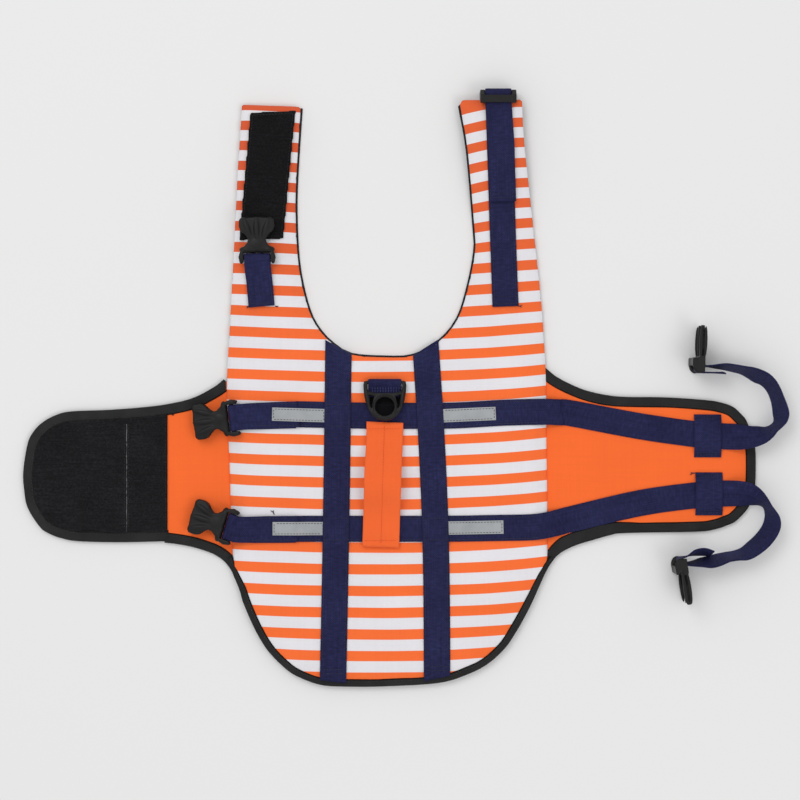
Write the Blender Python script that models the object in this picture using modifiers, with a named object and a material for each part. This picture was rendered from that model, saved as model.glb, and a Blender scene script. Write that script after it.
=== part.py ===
"""Dog life jacket, laid open with its outside up: a padded back with two neck arms, two belly
wings, a bound tail, webbing belts with side-release buckles, a lift handle and a lead ring.

The frame is +X to the jacket's right wing, +Y to the neck, +Z up from the table. All sizes
and tables are in millimetres. MM turns them into metres where a mesh or a place is made.
"""

import math

import bmesh
import bpy
from mathutils import Matrix, Vector
from mathutils.geometry import delaunay_2d_cdt

MM = 0.001
GAP = 0.3

# Cloth
LINING_THICK = 1.0
LINING_SHOWS = 1.4
PAD_FLOOR = LINING_THICK + GAP
PAD_THICK = 9.0
PAD_EDGE_THICK = 4.0
PAD_ROUND = 14.0
PAD_TOP = PAD_FLOOR + PAD_THICK
WING_FLOOR = 1.2
WING_THICK = 2.2
WING_TOP = WING_FLOOR + WING_THICK
BINDING_WALL = 0.9
BINDING_ON_WING = 9.0
BINDING_ON_TAIL = 7.0
BINDING_TOP = WING_TOP + GAP + BINDING_WALL
LOOP_THICK = 1.4
REFLECTIVE_THICK = 0.5
OUTLINE_STEP = 9.0

# Webbing
WEB_WIDTH = 25.5
WEB = 1.5
HALF_WEB = WEB / 2
SECOND_LAYER = WEB + GAP
# Heights of webbing's underside, or of its lower edge where it leans
ON_PAD = PAD_TOP + GAP
ON_WING = WING_TOP + GAP
OVER_BINDING = BINDING_TOP + GAP
ON_TABLE = 0.4
LAID_SLACK = 1.8
IN_BUCKLE = 5.35

# The right neck arm rests on its tucked-under buckle
ARM_LIFT = 7.7
ARM_LIFT_START = 150.0
ARM_LIFT_END = 240.0

# Buckles
BUCKLE_THICK = 9.0
BAR_RADIUS = 1.9
BAR_TURN = BAR_RADIUS + 0.35 + HALF_WEB
SLOT_HALF_WIDTH = 13.3
PRONG_THICK = 7.0
PLATE_OUT = 17.8

# Outline of the back, in order round the panel. Each run is a smooth curve and the runs meet at corners.
LEFT_EDGE = (
    (-160, 277), (-164, 215), (-168, 135), (-172.5, 52), (-175, -2), (-173, -56), (-169.5, -157), (-167.5, -178),
)
TAIL_EDGE = (
    (-166.5, -181), (-158, -211), (-147, -236), (-135, -256), (-121, -271), (-107, -281.5), (-83, -290.5),
    (-57, -292.4), (-16, -292), (35, -288.5), (65, -279), (83, -269), (99, -254), (111, -236), (123, -214),
    (133, -192), (139.5, -177),
)
RIGHT_EDGE = (
    (140.5, -174), (140.5, -119), (139.5, -48), (139, 7), (135, 77), (126.5, 158), (117.5, 238), (115, 281),
)
RIGHT_ARM_END = ((115, 281), (84, 280.5), (56, 280.5))
NECKLINE = (
    (53.5, 276), (61, 233), (68, 156), (68.5, 134), (62, 100), (51.5, 68), (33, 46), (8, 32.5), (-20, 31),
    (-52, 33.5), (-69, 43), (-83, 57), (-94, 78), (-103.5, 120), (-106.5, 171), (-105.5, 212), (-101.5, 275),
)

# Outer line of each wing's binding, from the neck side round the tip to the tail side
LEFT_WING_EDGE = (
    (-177.5, 9), (-187, 1.5), (-207, -9), (-228, -14.5), (-252, -18), (-290, -21), (-327, -22.5), (-342, -26),
    (-355, -33), (-364, -42), (-370, -54), (-374.3, -81), (-373.5, -99), (-370, -117), (-358, -136),
    (-349, -142.5), (-337, -147), (-320, -150), (-282, -151), (-235, -150),
)
LEFT_WING_REAR = ((-234.5, -150.6), (-222, -153), (-207, -156), (-190, -162), (-180, -168), (-174.5, -173.5))
RIGHT_WING_EDGE = (
    (142, 17), (149, 11.5), (162, 4.5), (178, -2), (198, -6.5), (217, -8.3), (256, -8.8), (295, -11.4),
    (311, -14), (322, -18), (330, -25), (336, -33), (343.5, -56), (344.5, -75), (343.5, -99), (338.5, -115),
    (326, -129.5), (316, -134.6), (303, -138.7), (285, -140.7), (217, -142), (202, -144), (186, -148.5),
    (168, -154), (154, -162), (146, -169.5),
)

# Neck-side edge of the belly fastening, and where its wide and narrow strips meet
LOOP_SPLIT_X = -272.5
LOOP_END_X = -232.5
WING_MIDDLE_Y = -85.0
NECK_LOOP = ((-151, 269.5), (-162, 145), (-118.5, 146.5), (-106.5, 271.5))

# Rows of each belt: x, y of its centre line, height of its lower face or edge, lean in degrees (90 is on its edge)
UPPER_BELT = (
    (-98, -25.5, ON_PAD, 0), (-29, -26.8, ON_PAD, 0), (44, -26.6, ON_PAD, 0), (93, -24, ON_PAD, 0),
    (118, -23.2, ON_PAD, 0), (130, -23, ON_PAD, 0), (141, -23, 8.0, 0), (152, -23.6, 5.0, 0),
    (164, -24.6, ON_WING, 0), (230, -37, ON_WING, 0), (283, -44.7, ON_WING, 0), (312, -47, ON_WING, 0),
    (326, -47.3, OVER_BINDING, 0), (342, -46.3, OVER_BINDING, 2), (353.5, -42.5, 1.8, 20),
    (361.5, -37, ON_TABLE, 40), (365.4, -30, ON_TABLE, 50), (366.4, -22, ON_TABLE, 58),
    (364.4, -12, ON_TABLE, 61), (359.5, -3, ON_TABLE, 65), (353.5, 5, ON_TABLE, 70),
    (345, 11, ON_TABLE, 76), (331, 17, 0.8, 82), (316, 20.5, 2.6, 87), (305, 21.6, 4.6, 90),
)
LOWER_BELT = (
    (-98, -137.3, ON_PAD, 0), (-29, -137.3, ON_PAD, 0), (44, -137.2, ON_PAD, 0), (93, -136.4, ON_PAD, 0),
    (118, -136, ON_PAD, 0), (130, -135.2, ON_PAD, 0), (141, -133.5, 8.0, 0), (152, -131, 5.0, 0),
    (164, -128, ON_WING, 0), (230, -112.6, ON_WING, 0), (284, -105, ON_WING, 0), (312, -103.2, ON_WING, 0),
    (326, -102.8, OVER_BINDING, 0), (341, -103.4, OVER_BINDING, -1), (350.5, -108, 2.2, -20),
    (355.8, -117, ON_TABLE, -44), (357.5, -127, ON_TABLE, -54), (356, -137.5, ON_TABLE, -53),
    (349.5, -148.5, ON_TABLE, -52), (339.5, -156.6, ON_TABLE, -60), (328, -161.3, ON_TABLE, -70),
    (314, -164.8, 1.0, -80), (300, -167.6, 3.4, -88), (290, -169.4, 5.0, -90),
)

# Middle of each belt where it crosses the back, and where the spine straps bend at the panel's ends
BELT_CENTRES_Y = (-26.7, -137.3)
SPINE_STRAP_BENDS_Y = (28, 20, 12, 5, -80, -200, -255, -265, -272, -278)

# Female buckles: rear bar centre x, y, height, and the way its mouth points in degrees from +X
FEMALE_BUCKLES = {
    "buckle_female_upper": (-167.8, -29.0, 15.6, 187.0, 8.0),
    "buckle_female_lower": (-171.5, -135.0, 15.0, 163.0, 8.0),
    "buckle_female_neck": (-143.8, 127.8, 17.4, 91.0, 0.0),
}
# Half outline of a female buckle: distance ahead of its rear bar, half width
FEMALE_OUTLINE = (
    (-5, 14.6), (-3.5, 17.2), (0, 18.2), (4, 17), (7.5, 15.4), (11, 12), (14, 9.7), (18, 8.6), (22, 11.5),
    (26, 16), (30, 17.3), (36.5, 17), (38.5, 11), (39.3, 0),
)
SOCKET_START = 13.0
SOCKET_HALF_WIDTH = 13.4
SOCKET_HALF_HEIGHT = 3.0
SLOT_END = 6.8

# Half outline of one prong: distance ahead of the buckle's middle, distance off its centre line
PRONG_OUTLINE = (
    (7, 7.5), (7, 13.2), (24, 13), (27, 16.2), (30, 16), (31.5, 13), (37, 12), (39, 10), (38.5, 8.6), (32, 8.2),
    (12, 8.4),
)
GUIDE_LENGTH = 31.0
BELT_GRIP_HEIGHT = 12.0
NECK_GRIP_HEIGHT = 19.8
ADJUSTER_BAR_X = -4.0
NECK_BUCKLE = (91.2, 284.6, 0.4 + PRONG_THICK / 2)
NECK_STRAP_RIGHT_TOP_X = 91.2
NECK_STRAP_RIGHT_FOOT_X = 98.5
NECK_STRAP_FOOT_Y = 80.0
NECK_STRAP_TAIL_Y = 182.0

# Lead ring
RING_BAR = (-19.4, 5.8, 14.3)
RING_TILT = 9.0
RING_THICK = 3.2
RING_BAR_RADIUS = 1.6
RING_OUTLINE = (
    (-20.4, 1), (-21, -3), (-20.6, -10), (-19.2, -18), (-16.6, -26), (-12.5, -32.5), (-7, -36.6), (0, -38),
)
TAB_WIDTH = 32.4
TAB_FOOT_Y = -8.5

# Handle
HANDLE_TOP_Y = -33.0
HANDLE_FOOT_Y = -155.0
HANDLE_WIDTH = 36.0
HANDLE_THICK = 3.6
HANDLE_ARCH = 12.0

COLOURS = {
    "orange": (0.95, 0.20, 0.05, 0.85, 0.0),
    "striped": (0.93, 0.45, 0.30, 0.85, 0.0),
    "navy": (0.018, 0.018, 0.07, 0.7, 0.0),
    "black_cloth": (0.02, 0.02, 0.02, 0.9, 0.0),
    "grey": (0.36, 0.38, 0.38, 0.4, 0.2),
    "plastic": (0.02, 0.02, 0.02, 0.4, 0.0),
}


for old in list(bpy.data.objects):
    bpy.data.objects.remove(old, do_unlink=True)
jacket = bpy.data.collections.new("dog_life_jacket")
bpy.context.scene.collection.children.link(jacket)
cutters = bpy.data.collections.new("cutters")
bpy.context.scene.collection.children.link(cutters)


def add_object(name, bm, colour, place=None, collection=jacket):
    """Turns a bmesh in millimetres into a named object with its own material."""
    bmesh.ops.recalc_face_normals(bm, faces=bm.faces)
    bmesh.ops.scale(bm, vec=(MM, MM, MM), verts=bm.verts)
    mesh = bpy.data.meshes.new(name)
    bm.to_mesh(mesh)
    bm.free()
    return place_mesh(name, mesh, colour, place, collection)


def place_mesh(name, mesh, colour, place=None, collection=jacket):
    obj = bpy.data.objects.new(name, mesh)
    collection.objects.link(obj)
    red, green, blue, roughness, metallic = COLOURS[colour]
    material = bpy.data.materials.new(name)
    material.use_nodes = True
    shader = material.node_tree.nodes["Principled BSDF"]
    shader.inputs["Base Color"].default_value = (red, green, blue, 1)
    shader.inputs["Roughness"].default_value = roughness
    shader.inputs["Metallic"].default_value = metallic
    mesh.materials.clear()
    mesh.materials.append(material)
    if place is not None:
        obj.matrix_world = place
    return obj


def smooth_run(rows, step=OUTLINE_STEP):
    """A Catmull-Rom curve through the rows, with a point about every step."""
    points = [Vector(row) for row in rows]
    padded = [2 * points[0] - points[1], *points, 2 * points[-1] - points[-2]]
    curve = [points[0]]
    for before, start, end, after in zip(padded, padded[1:], padded[2:], padded[3:]):
        count = max(1, round((end - start).length / step))
        for k in range(1, count + 1):
            t = k / count
            curve.append(
                start * (1 + t * t * (1.5 * t - 2.5))
                + end * t * (0.5 + t * (2 - 1.5 * t))
                + before * t * (-0.5 + t * (1 - 0.5 * t))
                + after * t * t * (0.5 * t - 0.5)
            )
    return curve


def shifted_run(curve, distance):
    """The run moved sideways, to the left of its direction for a positive distance."""
    moved = []
    for i, point in enumerate(curve):
        ahead = curve[min(i + 1, len(curve) - 1)] - curve[max(i - 1, 0)]
        side = Vector((-ahead.y, ahead.x)).normalized()
        moved.append(point + side * distance)
    return moved


def distance_to(loop, point):
    """Distance from a point to a closed loop of points."""
    best = 1e9
    for start, end in zip(loop, loop[1:] + loop[:1]):
        along = end - start
        t = max(0.0, min(1.0, (point - start).dot(along) / max(along.length_squared, 1e-9)))
        best = min(best, (start + along * t - point).length)
    return best


def ramp(value, start, end):
    """0 before start, 1 after end, and a smooth rise between."""
    t = max(0.0, min(1.0, (value - start) / (end - start)))
    return t * t * (3 - 2 * t)


def cut_piece(name, loop, lower, upper, colour, inner=(), lines=()):
    """A flat-cut piece: its outline, filled with the inner points and lines, between two heights."""
    turning = sum(a.cross(b) for a, b in zip(loop, loop[1:] + loop[:1]))
    points = (list(loop) if turning > 0 else list(reversed(loop))) + list(inner)
    edges = []
    for start, end in lines:
        edges.append((len(points), len(points) + 1))
        points += [Vector(start), Vector(end)]
    outline = list(range(len(loop)))
    verts, _, faces, _, _, origins = delaunay_2d_cdt(points, edges, [outline], 0, 1e-4)
    bm = bmesh.new()
    corners = [bm.verts.new((v.x, v.y, 0)) for v in verts]
    for face, origin in zip(faces, origins):
        if origin:
            bm.faces.new([corners[i] for i in face])
    for vert in [v for v in bm.verts if not v.link_faces]:
        bm.verts.remove(vert)
    made = bmesh.ops.extrude_face_region(bm, geom=bm.faces[:])
    raised = {v for v in made["geom"] if isinstance(v, bmesh.types.BMVert)}
    for vert in bm.verts:
        height = upper if vert in raised else lower
        vert.co.z = height(vert.co.x, vert.co.y)
    return add_object(name, bm, colour)


def bar_turn(bar, heading, turn=BAR_TURN, steps=6):
    """Rows of webbing that goes round a level bar from below, in the upright plane of its heading in degrees."""
    forward = Vector((math.cos(math.radians(heading)), math.sin(math.radians(heading)), 0))
    rows = []
    for k in range(steps + 1):
        angle = math.pi * k / steps
        point = Vector(bar) + forward * turn * math.sin(angle)
        point.z -= turn * math.cos(angle) + HALF_WEB
        rows.append((*point, 0))
    return rows


def webbing(name, rows, width=WEB_WIDTH, thick=WEB, colour="navy", step=12.0):
    """A strip of webbing along rows of x, y, lower height and lean, as an open strip with Solidify."""
    curve = smooth_run(rows, step)
    bm = bmesh.new()
    side = None
    previous = None
    for i, row in enumerate(curve):
        ahead = curve[min(i + 1, len(curve) - 1)] - curve[max(i - 1, 0)]
        level = Vector((-ahead.y, ahead.x, 0))
        if side is None or level.length > 0.3 * Vector(ahead[:3]).length:
            turned = level.normalized()
            side = turned if side is None or turned.dot(side) > 0 else -turned
        lean = math.radians(row[3])
        across = side * math.cos(lean) + Vector((0, 0, math.sin(lean)))
        rise = abs(math.sin(lean)) * width / 2 + math.cos(lean) * thick / 2
        centre = Vector((row[0], row[1], row[2] + rise))
        pair = [bm.verts.new(centre - across * width / 2), bm.verts.new(centre + across * width / 2)]
        if previous:
            bm.faces.new((previous[0], previous[1], pair[1], pair[0]))
        previous = pair
    obj = add_object(name, bm, colour)
    wall = obj.modifiers.new("thickness", "SOLIDIFY")
    wall.thickness = thick * MM
    wall.offset = 0
    wall.use_even_offset = True
    return obj


def extruded(name, loop, low, high, place=None, bevel=0.0):
    """A flat outline given its thickness, with its rims bevelled."""
    bm = bmesh.new()
    face = bm.faces.new([bm.verts.new((x, y, low)) for x, y in loop])
    made = bmesh.ops.extrude_face_region(bm, geom=[face])
    raised = [v for v in made["geom"] if isinstance(v, bmesh.types.BMVert)]
    bmesh.ops.translate(bm, vec=(0, 0, high - low), verts=raised)
    if bevel:
        rims = [e for e in bm.edges if abs(e.verts[0].co.z - e.verts[1].co.z) < 1e-6]
        bmesh.ops.bevel(bm, geom=rims, offset=bevel, segments=1, affect="EDGES")
    return add_object(name, bm, "plastic", place, cutters)


def mirrored(half):
    """The whole outline from its half, which runs from one end to the other on the +Y side."""
    other = [(x, -y) for x, y in reversed(half) if y > 0]
    return list(half) + other


def box_loop(low_x, high_x, half_width):
    return [(low_x, -half_width), (high_x, -half_width), (high_x, half_width), (low_x, half_width)]


def cylinder(name, radius, start, end, sides=12):
    """A round bar between two points."""
    bm = bmesh.new()
    along = Vector(end) - Vector(start)
    turn = along.to_track_quat("Z", "Y").to_matrix().to_4x4()
    place = Matrix.Translation((Vector(start) + Vector(end)) / 2) @ turn
    bmesh.ops.create_cone(
        bm, cap_ends=True, segments=sides, radius1=radius, radius2=radius, depth=along.length, matrix=place
    )
    return add_object(name, bm, "plastic", collection=cutters)


def joined_mesh(body, steps):
    """The body's mesh after Booleans with (operation, helper) steps. The body and its helpers are removed."""
    for operation, helper in steps:
        helper.hide_render = True
        helper.display_type = "WIRE"
        boolean = body.modifiers.new(helper.name, "BOOLEAN")
        boolean.operation = operation
        boolean.object = helper
        boolean.solver = "EXACT"
    bpy.context.view_layer.update()
    graph = bpy.context.evaluated_depsgraph_get()
    mesh = bpy.data.meshes.new_from_object(body.evaluated_get(graph))
    for used in [body, *(helper for _, helper in steps)]:
        bpy.data.objects.remove(used, do_unlink=True)
    return mesh


def axes_matrix(origin, forward, up):
    """A place whose local X is forward and local Z is near up. The origin is in millimetres."""
    x = Vector(forward).normalized()
    y = Vector(up).cross(x).normalized()
    turn = Matrix((x, y, x.cross(y))).transposed().to_4x4()
    return Matrix.Translation(Vector(origin) * MM) @ turn


# Outlines of the cloth pieces
left_edge = smooth_run(LEFT_EDGE)
tail_edge = smooth_run(TAIL_EDGE)
right_edge = smooth_run(RIGHT_EDGE)
arm_end = smooth_run(RIGHT_ARM_END)
neckline = smooth_run(NECKLINE)
wall_and_gap = BINDING_WALL + GAP
pad_tail = shifted_run(tail_edge, wall_and_gap)
pad_loop = left_edge + pad_tail + right_edge + arm_end[1:] + neckline
lining_loop = (
    shifted_run(left_edge, 0.5)
    + shifted_run(tail_edge, BINDING_ON_TAIL + GAP)
    + shifted_run(right_edge, 0.5)
    + shifted_run(arm_end, 0.5)[1:]
    + shifted_run(neckline, -LINING_SHOWS)
)


def arm_lift(x, y):
    """How far the right neck arm is held off the table."""
    return ARM_LIFT * ramp(y, ARM_LIFT_START, ARM_LIFT_END) if x > 0 else 0.0


def pad_top(x, y):
    """Height of the padded panel's upper face."""
    inside = min(distance_to(pad_loop, Vector((x, y))) / PAD_ROUND, 1.0)
    swell = PAD_EDGE_THICK + (PAD_THICK - PAD_EDGE_THICK) * math.sin(math.pi / 2 * inside)
    return PAD_FLOOR + swell + arm_lift(x, y)


def laid_floor(x, y):
    """Underside of what lies on the padded panel, which follows part of the drop at its rounded edges."""
    drop = PAD_TOP + arm_lift(x, y) - pad_top(x, y)
    return ON_PAD + arm_lift(x, y) - 0.5 * max(0.0, drop - LAID_SLACK)


def inside_points(loop, depths, spacing):
    """Points that carry a rounded edge: rings at the depths, and a coarse grid within the last one."""
    points = []
    count = len(loop)
    for depth in depths:
        for i in range(0, count, 1 if depth < 5 else 2):
            ahead = (loop[(i + 1) % count] - loop[i]).normalized()
            behind = (loop[i] - loop[i - 1]).normalized()
            inward = Vector((-(ahead + behind).y, (ahead + behind).x)).normalized()
            stretch = max(0.5, Vector((-ahead.y, ahead.x)).dot(inward))
            point = loop[i] + inward * depth / stretch
            if distance_to(loop, point) > 0.98 * depth:
                points.append(point)
    low_x = min(p.x for p in loop)
    high_x = max(p.x for p in loop)
    low_y = min(p.y for p in loop)
    high_y = max(p.y for p in loop)
    for i in range(1, int((high_x - low_x) / spacing) + 1):
        for j in range(1, int((high_y - low_y) / spacing) + 1):
            point = Vector((low_x + i * spacing, low_y + j * spacing))
            if distance_to(loop, point) > depths[-1] + spacing / 3:
                points.append(point)
    return points


def lift_lines(low_x, high_x):
    """Level lines across the right arm, where it bends up."""
    count = 6
    step = (ARM_LIFT_END - ARM_LIFT_START) / count
    return [((low_x, ARM_LIFT_START + k * step), (high_x, ARM_LIFT_START + k * step)) for k in range(count + 1)]


cut_piece(
    "lining",
    lining_loop,
    arm_lift,
    lambda x, y: arm_lift(x, y) + LINING_THICK,
    "black_cloth",
    lines=lift_lines(60, 140),
)
cut_piece(
    "back_panel",
    pad_loop,
    lambda x, y: arm_lift(x, y) + PAD_FLOOR,
    pad_top,
    "striped",
    inner=inside_points(pad_loop, (3.5, 8.0, PAD_ROUND), 26.0),
)


# Belly wings: flat cloth up to the panel's edge, with the binding round the rest
def wing(name, edge, seam, side):
    """A wing inside its binding's outer line, closed along the seam. side is 1 on the left and -1 on the right."""
    body = shifted_run(edge, side * wall_and_gap)
    low, high = sorted((body[0].y, body[-1].y))
    rows = [p for p in seam if low < p.y < high]
    if (rows[0] - body[-1]).length > (rows[-1] - body[-1]).length:
        rows.reverse()
    away = -GAP if side > 0 else GAP
    close = [Vector((p.x + away, p.y)) for p in rows]
    cut_piece(name, body + close, lambda x, y: WING_FLOOR, lambda x, y: WING_TOP, "orange")


left_wing_edge = smooth_run(LEFT_WING_EDGE)
left_wing_rear = smooth_run(LEFT_WING_REAR)
right_wing_edge = smooth_run(RIGHT_WING_EDGE)
wing("wing_left", left_wing_edge + left_wing_rear, left_edge, 1)
wing("wing_right", right_wing_edge, right_edge, -1)


def tape_section(reach, floor, over):
    """Corners of a folded tape, as inset and height. over gives the height above the cloth at an inset."""
    half = (reach + wall_and_gap) / 2
    edge_top = over(wall_and_gap)
    return (
        (0, 1.0),
        (1.0, 0),
        (reach, 0),
        (reach, floor - GAP),
        (BINDING_WALL, floor - GAP),
        (BINDING_WALL, edge_top),
        (half, over(half)),
        (reach, over(reach)),
        (reach, over(reach) + BINDING_WALL),
        (half, over(half) + BINDING_WALL),
        (1.0, edge_top + BINDING_WALL),
        (0, edge_top),
    )


def binding(name, edge, side, reach, floor, top_at, clip_x=None):
    """Folded tape round a cloth edge: a C section swept along its outer line, cut off where it meets the back."""
    bm = bmesh.new()
    rings = []
    for i, point in enumerate(edge):
        ahead = edge[min(i + 1, len(edge) - 1)] - edge[max(i - 1, 0)]
        inward = Vector((-ahead.y, ahead.x)).normalized() * side
        section = tape_section(reach, floor, lambda inset: top_at(*(point + inward * inset)) + GAP)
        rings.append([bm.verts.new((*(point + inward * inset), height)) for inset, height in section])
    for first, second in zip(rings, rings[1:]):
        for k in range(len(first)):
            bm.faces.new((first[k], first[k - 1], second[k - 1], second[k]))
    bm.faces.new(rings[0])
    bm.faces.new(rings[-1])
    if clip_x is not None:
        away = Vector((math.copysign(1, clip_x), 0, 0))
        everything = bm.verts[:] + bm.edges[:] + bm.faces[:]
        bmesh.ops.bisect_plane(bm, geom=everything, plane_co=(clip_x, 0, 0), plane_no=away, clear_inner=True)
        bmesh.ops.holes_fill(bm, edges=[e for e in bm.edges if e.is_boundary])
    add_object(name, bm, "black_cloth")


def wing_top(x, y):
    return WING_TOP


def tail_top(x, y):
    return pad_top(x, y) + 0.25


binding("binding_left_wing", left_wing_edge, 1, BINDING_ON_WING, WING_FLOOR, wing_top, -175.4)
binding("binding_left_rear", left_wing_rear, 1, BINDING_ON_WING, WING_FLOOR, wing_top, -169.6)
binding("binding_tail", tail_edge, 1, BINDING_ON_TAIL, PAD_FLOOR, tail_top)
binding("binding_right_wing", right_wing_edge, -1, BINDING_ON_WING, WING_FLOOR, wing_top, 141.0)


# Hook-and-loop fastening: two strips fill the left wing's tip inside its binding
def loop_strip(name, low_x, high_x):
    """A strip of the fastening between two x. With no low_x it runs round the wing's tip."""
    inner = shifted_run(left_wing_edge, BINDING_ON_WING + GAP)
    kept = [p for p in inner if p.x < high_x and (low_x is None or p.x > low_x)]
    neck_side = [p for p in kept if p.y > WING_MIDDLE_Y]
    tail_side = [p for p in kept if p.y <= WING_MIDDLE_Y]
    loop = [Vector((high_x, neck_side[0].y)), *neck_side]
    if low_x is not None:
        loop += [Vector((low_x, neck_side[-1].y)), Vector((low_x, tail_side[0].y))]
    loop += [*tail_side, Vector((high_x, tail_side[-1].y))]
    cut_piece(name, loop, lambda x, y: ON_WING, lambda x, y: ON_WING + LOOP_THICK, "black_cloth")


loop_strip("loop_panel_wide", None, LOOP_SPLIT_X - GAP / 2)
loop_strip("loop_panel_narrow", LOOP_SPLIT_X + GAP / 2, LOOP_END_X)

neck_corners = [Vector(corner) for corner in NECK_LOOP]
neck_loop = []
for start, end in zip(neck_corners, neck_corners[1:] + neck_corners[:1]):
    count = max(1, round((end - start).length / 16))
    neck_loop += [start.lerp(end, k / count) for k in range(count)]
cut_piece(
    "neck_loop_panel",
    neck_loop,
    laid_floor,
    lambda x, y: laid_floor(x, y) + LOOP_THICK,
    "black_cloth",
    inner=inside_points(neck_loop, (6.0,), 14.0),
)


# Belts: turned round the female buckle's rear bar, across the back, through the keeper and off the wing
def belt(name, buckle, under_end_x, rows, ending):
    """A belt whose turned-under end reaches under_end_x, then the rows across the back, then its ending."""
    x, y, z, heading, _ = FEMALE_BUCKLES[buckle]
    start_y = rows[0][1]
    back = Vector((-math.cos(math.radians(heading)), -math.sin(math.radians(heading))))
    near = Vector((x, y)) + back * 10
    far_x = under_end_x - 26
    far_y = start_y + (near.y - start_y) * 0.35
    under = [
        (under_end_x, start_y - 0.8, ON_PAD, 0),
        (far_x, far_y - 0.8, ON_PAD, 0),
        (near.x, near.y, ON_PAD + 0.1, 0),
    ]
    over = [
        (near.x, near.y, ON_PAD + SECOND_LAYER + 1.6, 0),
        (far_x, far_y, ON_PAD + SECOND_LAYER + 0.1, 0),
        (under_end_x + 0.5, start_y, ON_PAD + SECOND_LAYER, 0),
    ]
    webbing(name, under + bar_turn((x, y, z), heading) + over + list(rows) + ending)


def upright_turn(bar, start_angle, end_angle, steps=6):
    """Plan points of webbing on its edge round an upright bar."""
    x, y, _ = bar
    rows = []
    for k in range(steps + 1):
        angle = math.radians(start_angle + (end_angle - start_angle) * k / steps)
        rows.append((x + BAR_TURN * math.cos(angle), y + BAR_TURN * math.sin(angle)))
    return rows


UPRIGHT_Z = PLATE_OUT + GAP
UPPER_BAR = (289.0, 18.6, UPRIGHT_Z)
LOWER_BAR = (271.4, -167.8, UPRIGHT_Z)
upper_end = [(x, y, IN_BUCKLE, 90) for x, y in upright_turn(UPPER_BAR, 90, 270)]
upper_end.append((301, 15.4, IN_BUCKLE, 90))
lower_end = [(x, y, IN_BUCKLE, -90) for x, y in upright_turn(LOWER_BAR, 270, 90)]
lower_end += [(284, -163.6, IN_BUCKLE, -90), (295, -162.4, IN_BUCKLE, -90)]
belt("belt_upper", "buckle_female_upper", -106.5, UPPER_BELT, upper_end)
belt("belt_lower", "buckle_female_lower", -106.5, LOWER_BELT, lower_end)


# Spine straps lie on the back and over both belts
def over_belts(y):
    """Height that the belts add under a strap at y."""
    rise = 0.0
    for centre in BELT_CENTRES_Y:
        half = WEB_WIDTH / 2 + 1.0
        rise = max(rise, ramp(y, centre - half - 5, centre - half) * (1 - ramp(y, centre + half, centre + half + 5)))
    return rise * SECOND_LAYER


def spine_strap(name, top_left, top_right, foot_left, foot_right):
    """A strap from the neckline to the tail binding: corners in order, with lines across at each bend."""
    corners = [Vector(c) for c in (top_left, foot_left, foot_right, top_right)]
    bends = [centre + away for centre in BELT_CENTRES_Y for away in (-18.8, -16.3, -13.8, 13.8, 16.3, 18.8)]
    lines = [((-120, y), (120, y)) for y in bends + list(SPINE_STRAP_BENDS_Y)]

    def floor(x, y):
        return laid_floor(x, y) + over_belts(y)

    cut_piece(name, corners, floor, lambda x, y: floor(x, y) + WEB, "navy", lines=lines)


spine_strap("spine_strap_left", (-77, 46.5), (-52.5, 32), (-83, -281.5), (-57, -284))
spine_strap("spine_strap_right", (8, 31), (33, 43), (18.6, -281.8), (44.6, -277.5))

# Neck straps, sewn flat to their arms
female_neck = FEMALE_BUCKLES["buckle_female_neck"]
bar = female_neck[:3]
left_strap = [(-139.8, NECK_STRAP_FOOT_Y, ON_PAD, 0), (-142, 105, ON_PAD, 0), (-143.4, 117, 11.5, 0)]
left_strap += bar_turn(bar, female_neck[3])
left_strap += [
    (-143.4, 117, 15.4, 0),
    (-142, 105, ON_PAD + SECOND_LAYER + 0.3, 0),
    (-139.8, NECK_STRAP_FOOT_Y, ON_PAD + SECOND_LAYER, 0),
]
webbing("neck_strap_left", left_strap)


def on_right_arm(y, layer, reach):
    """A row of the right neck strap at y, in its lower or upper layer."""
    along = (y - NECK_STRAP_FOOT_Y) / (281 - NECK_STRAP_FOOT_Y)
    x = NECK_STRAP_RIGHT_FOOT_X + (NECK_STRAP_RIGHT_TOP_X - NECK_STRAP_RIGHT_FOOT_X) * along
    z = pad_top(x, y) + 0.5 + layer * (SECOND_LAYER + reach)
    return (x + layer * 1.2 * (1 - ramp(y, 240, 275)), y, z, 0)


neck_bar = (NECK_BUCKLE[0], NECK_BUCKLE[1] - ADJUSTER_BAR_X, 17.1)
right_strap = [on_right_arm(y, 0, 0) for y in (NECK_STRAP_FOOT_Y, 120, 150, 180, 210, 240, 262, 270, 275, 279)]
right_strap += bar_turn(neck_bar, 90)
right_strap += [(NECK_STRAP_RIGHT_TOP_X, 280, 19.4, 0)]
right_strap += [on_right_arm(y, 1, 0.3) for y in (262, 240, 210, NECK_STRAP_TAIL_Y)]
webbing("neck_strap_right", right_strap)


# Keepers: short webbing bands sewn to the right wing over each belt
def keeper(name, centre_x, centre_y, slope):
    """A band across a belt of that slope, humped over it and flat at its two sewn ends."""
    half_long = 21.0
    half_wide = WEB_WIDTH / 2 + 0.6
    hump_half = WEB_WIDTH / 2 + 1.8
    corners = ((-1, -1), (1, -1), (1, 1), (-1, 1))
    loop = [Vector((centre_x + sx * half_wide, centre_y + sy * half_long)) for sx, sy in corners]

    def floor(x, y):
        off = abs(y - centre_y - slope * (x - centre_x))
        return ON_WING + (1 - ramp(off, hump_half, hump_half + 4)) * (SECOND_LAYER + 0.2)

    lines = []
    for off in (-hump_half - 4, -hump_half - 2, -hump_half, hump_half, hump_half + 2, hump_half + 4):
        y = centre_y + off
        lines.append(((centre_x - 20, y - 20 * slope), (centre_x + 20, y + 20 * slope)))
    cut_piece(name, loop, floor, lambda x, y: floor(x, y) + WEB, "navy", lines=lines)


keeper("keeper_upper", 297.0, -46.6, -0.08)
keeper("keeper_lower", 298.3, -103.4, 0.06)


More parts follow.
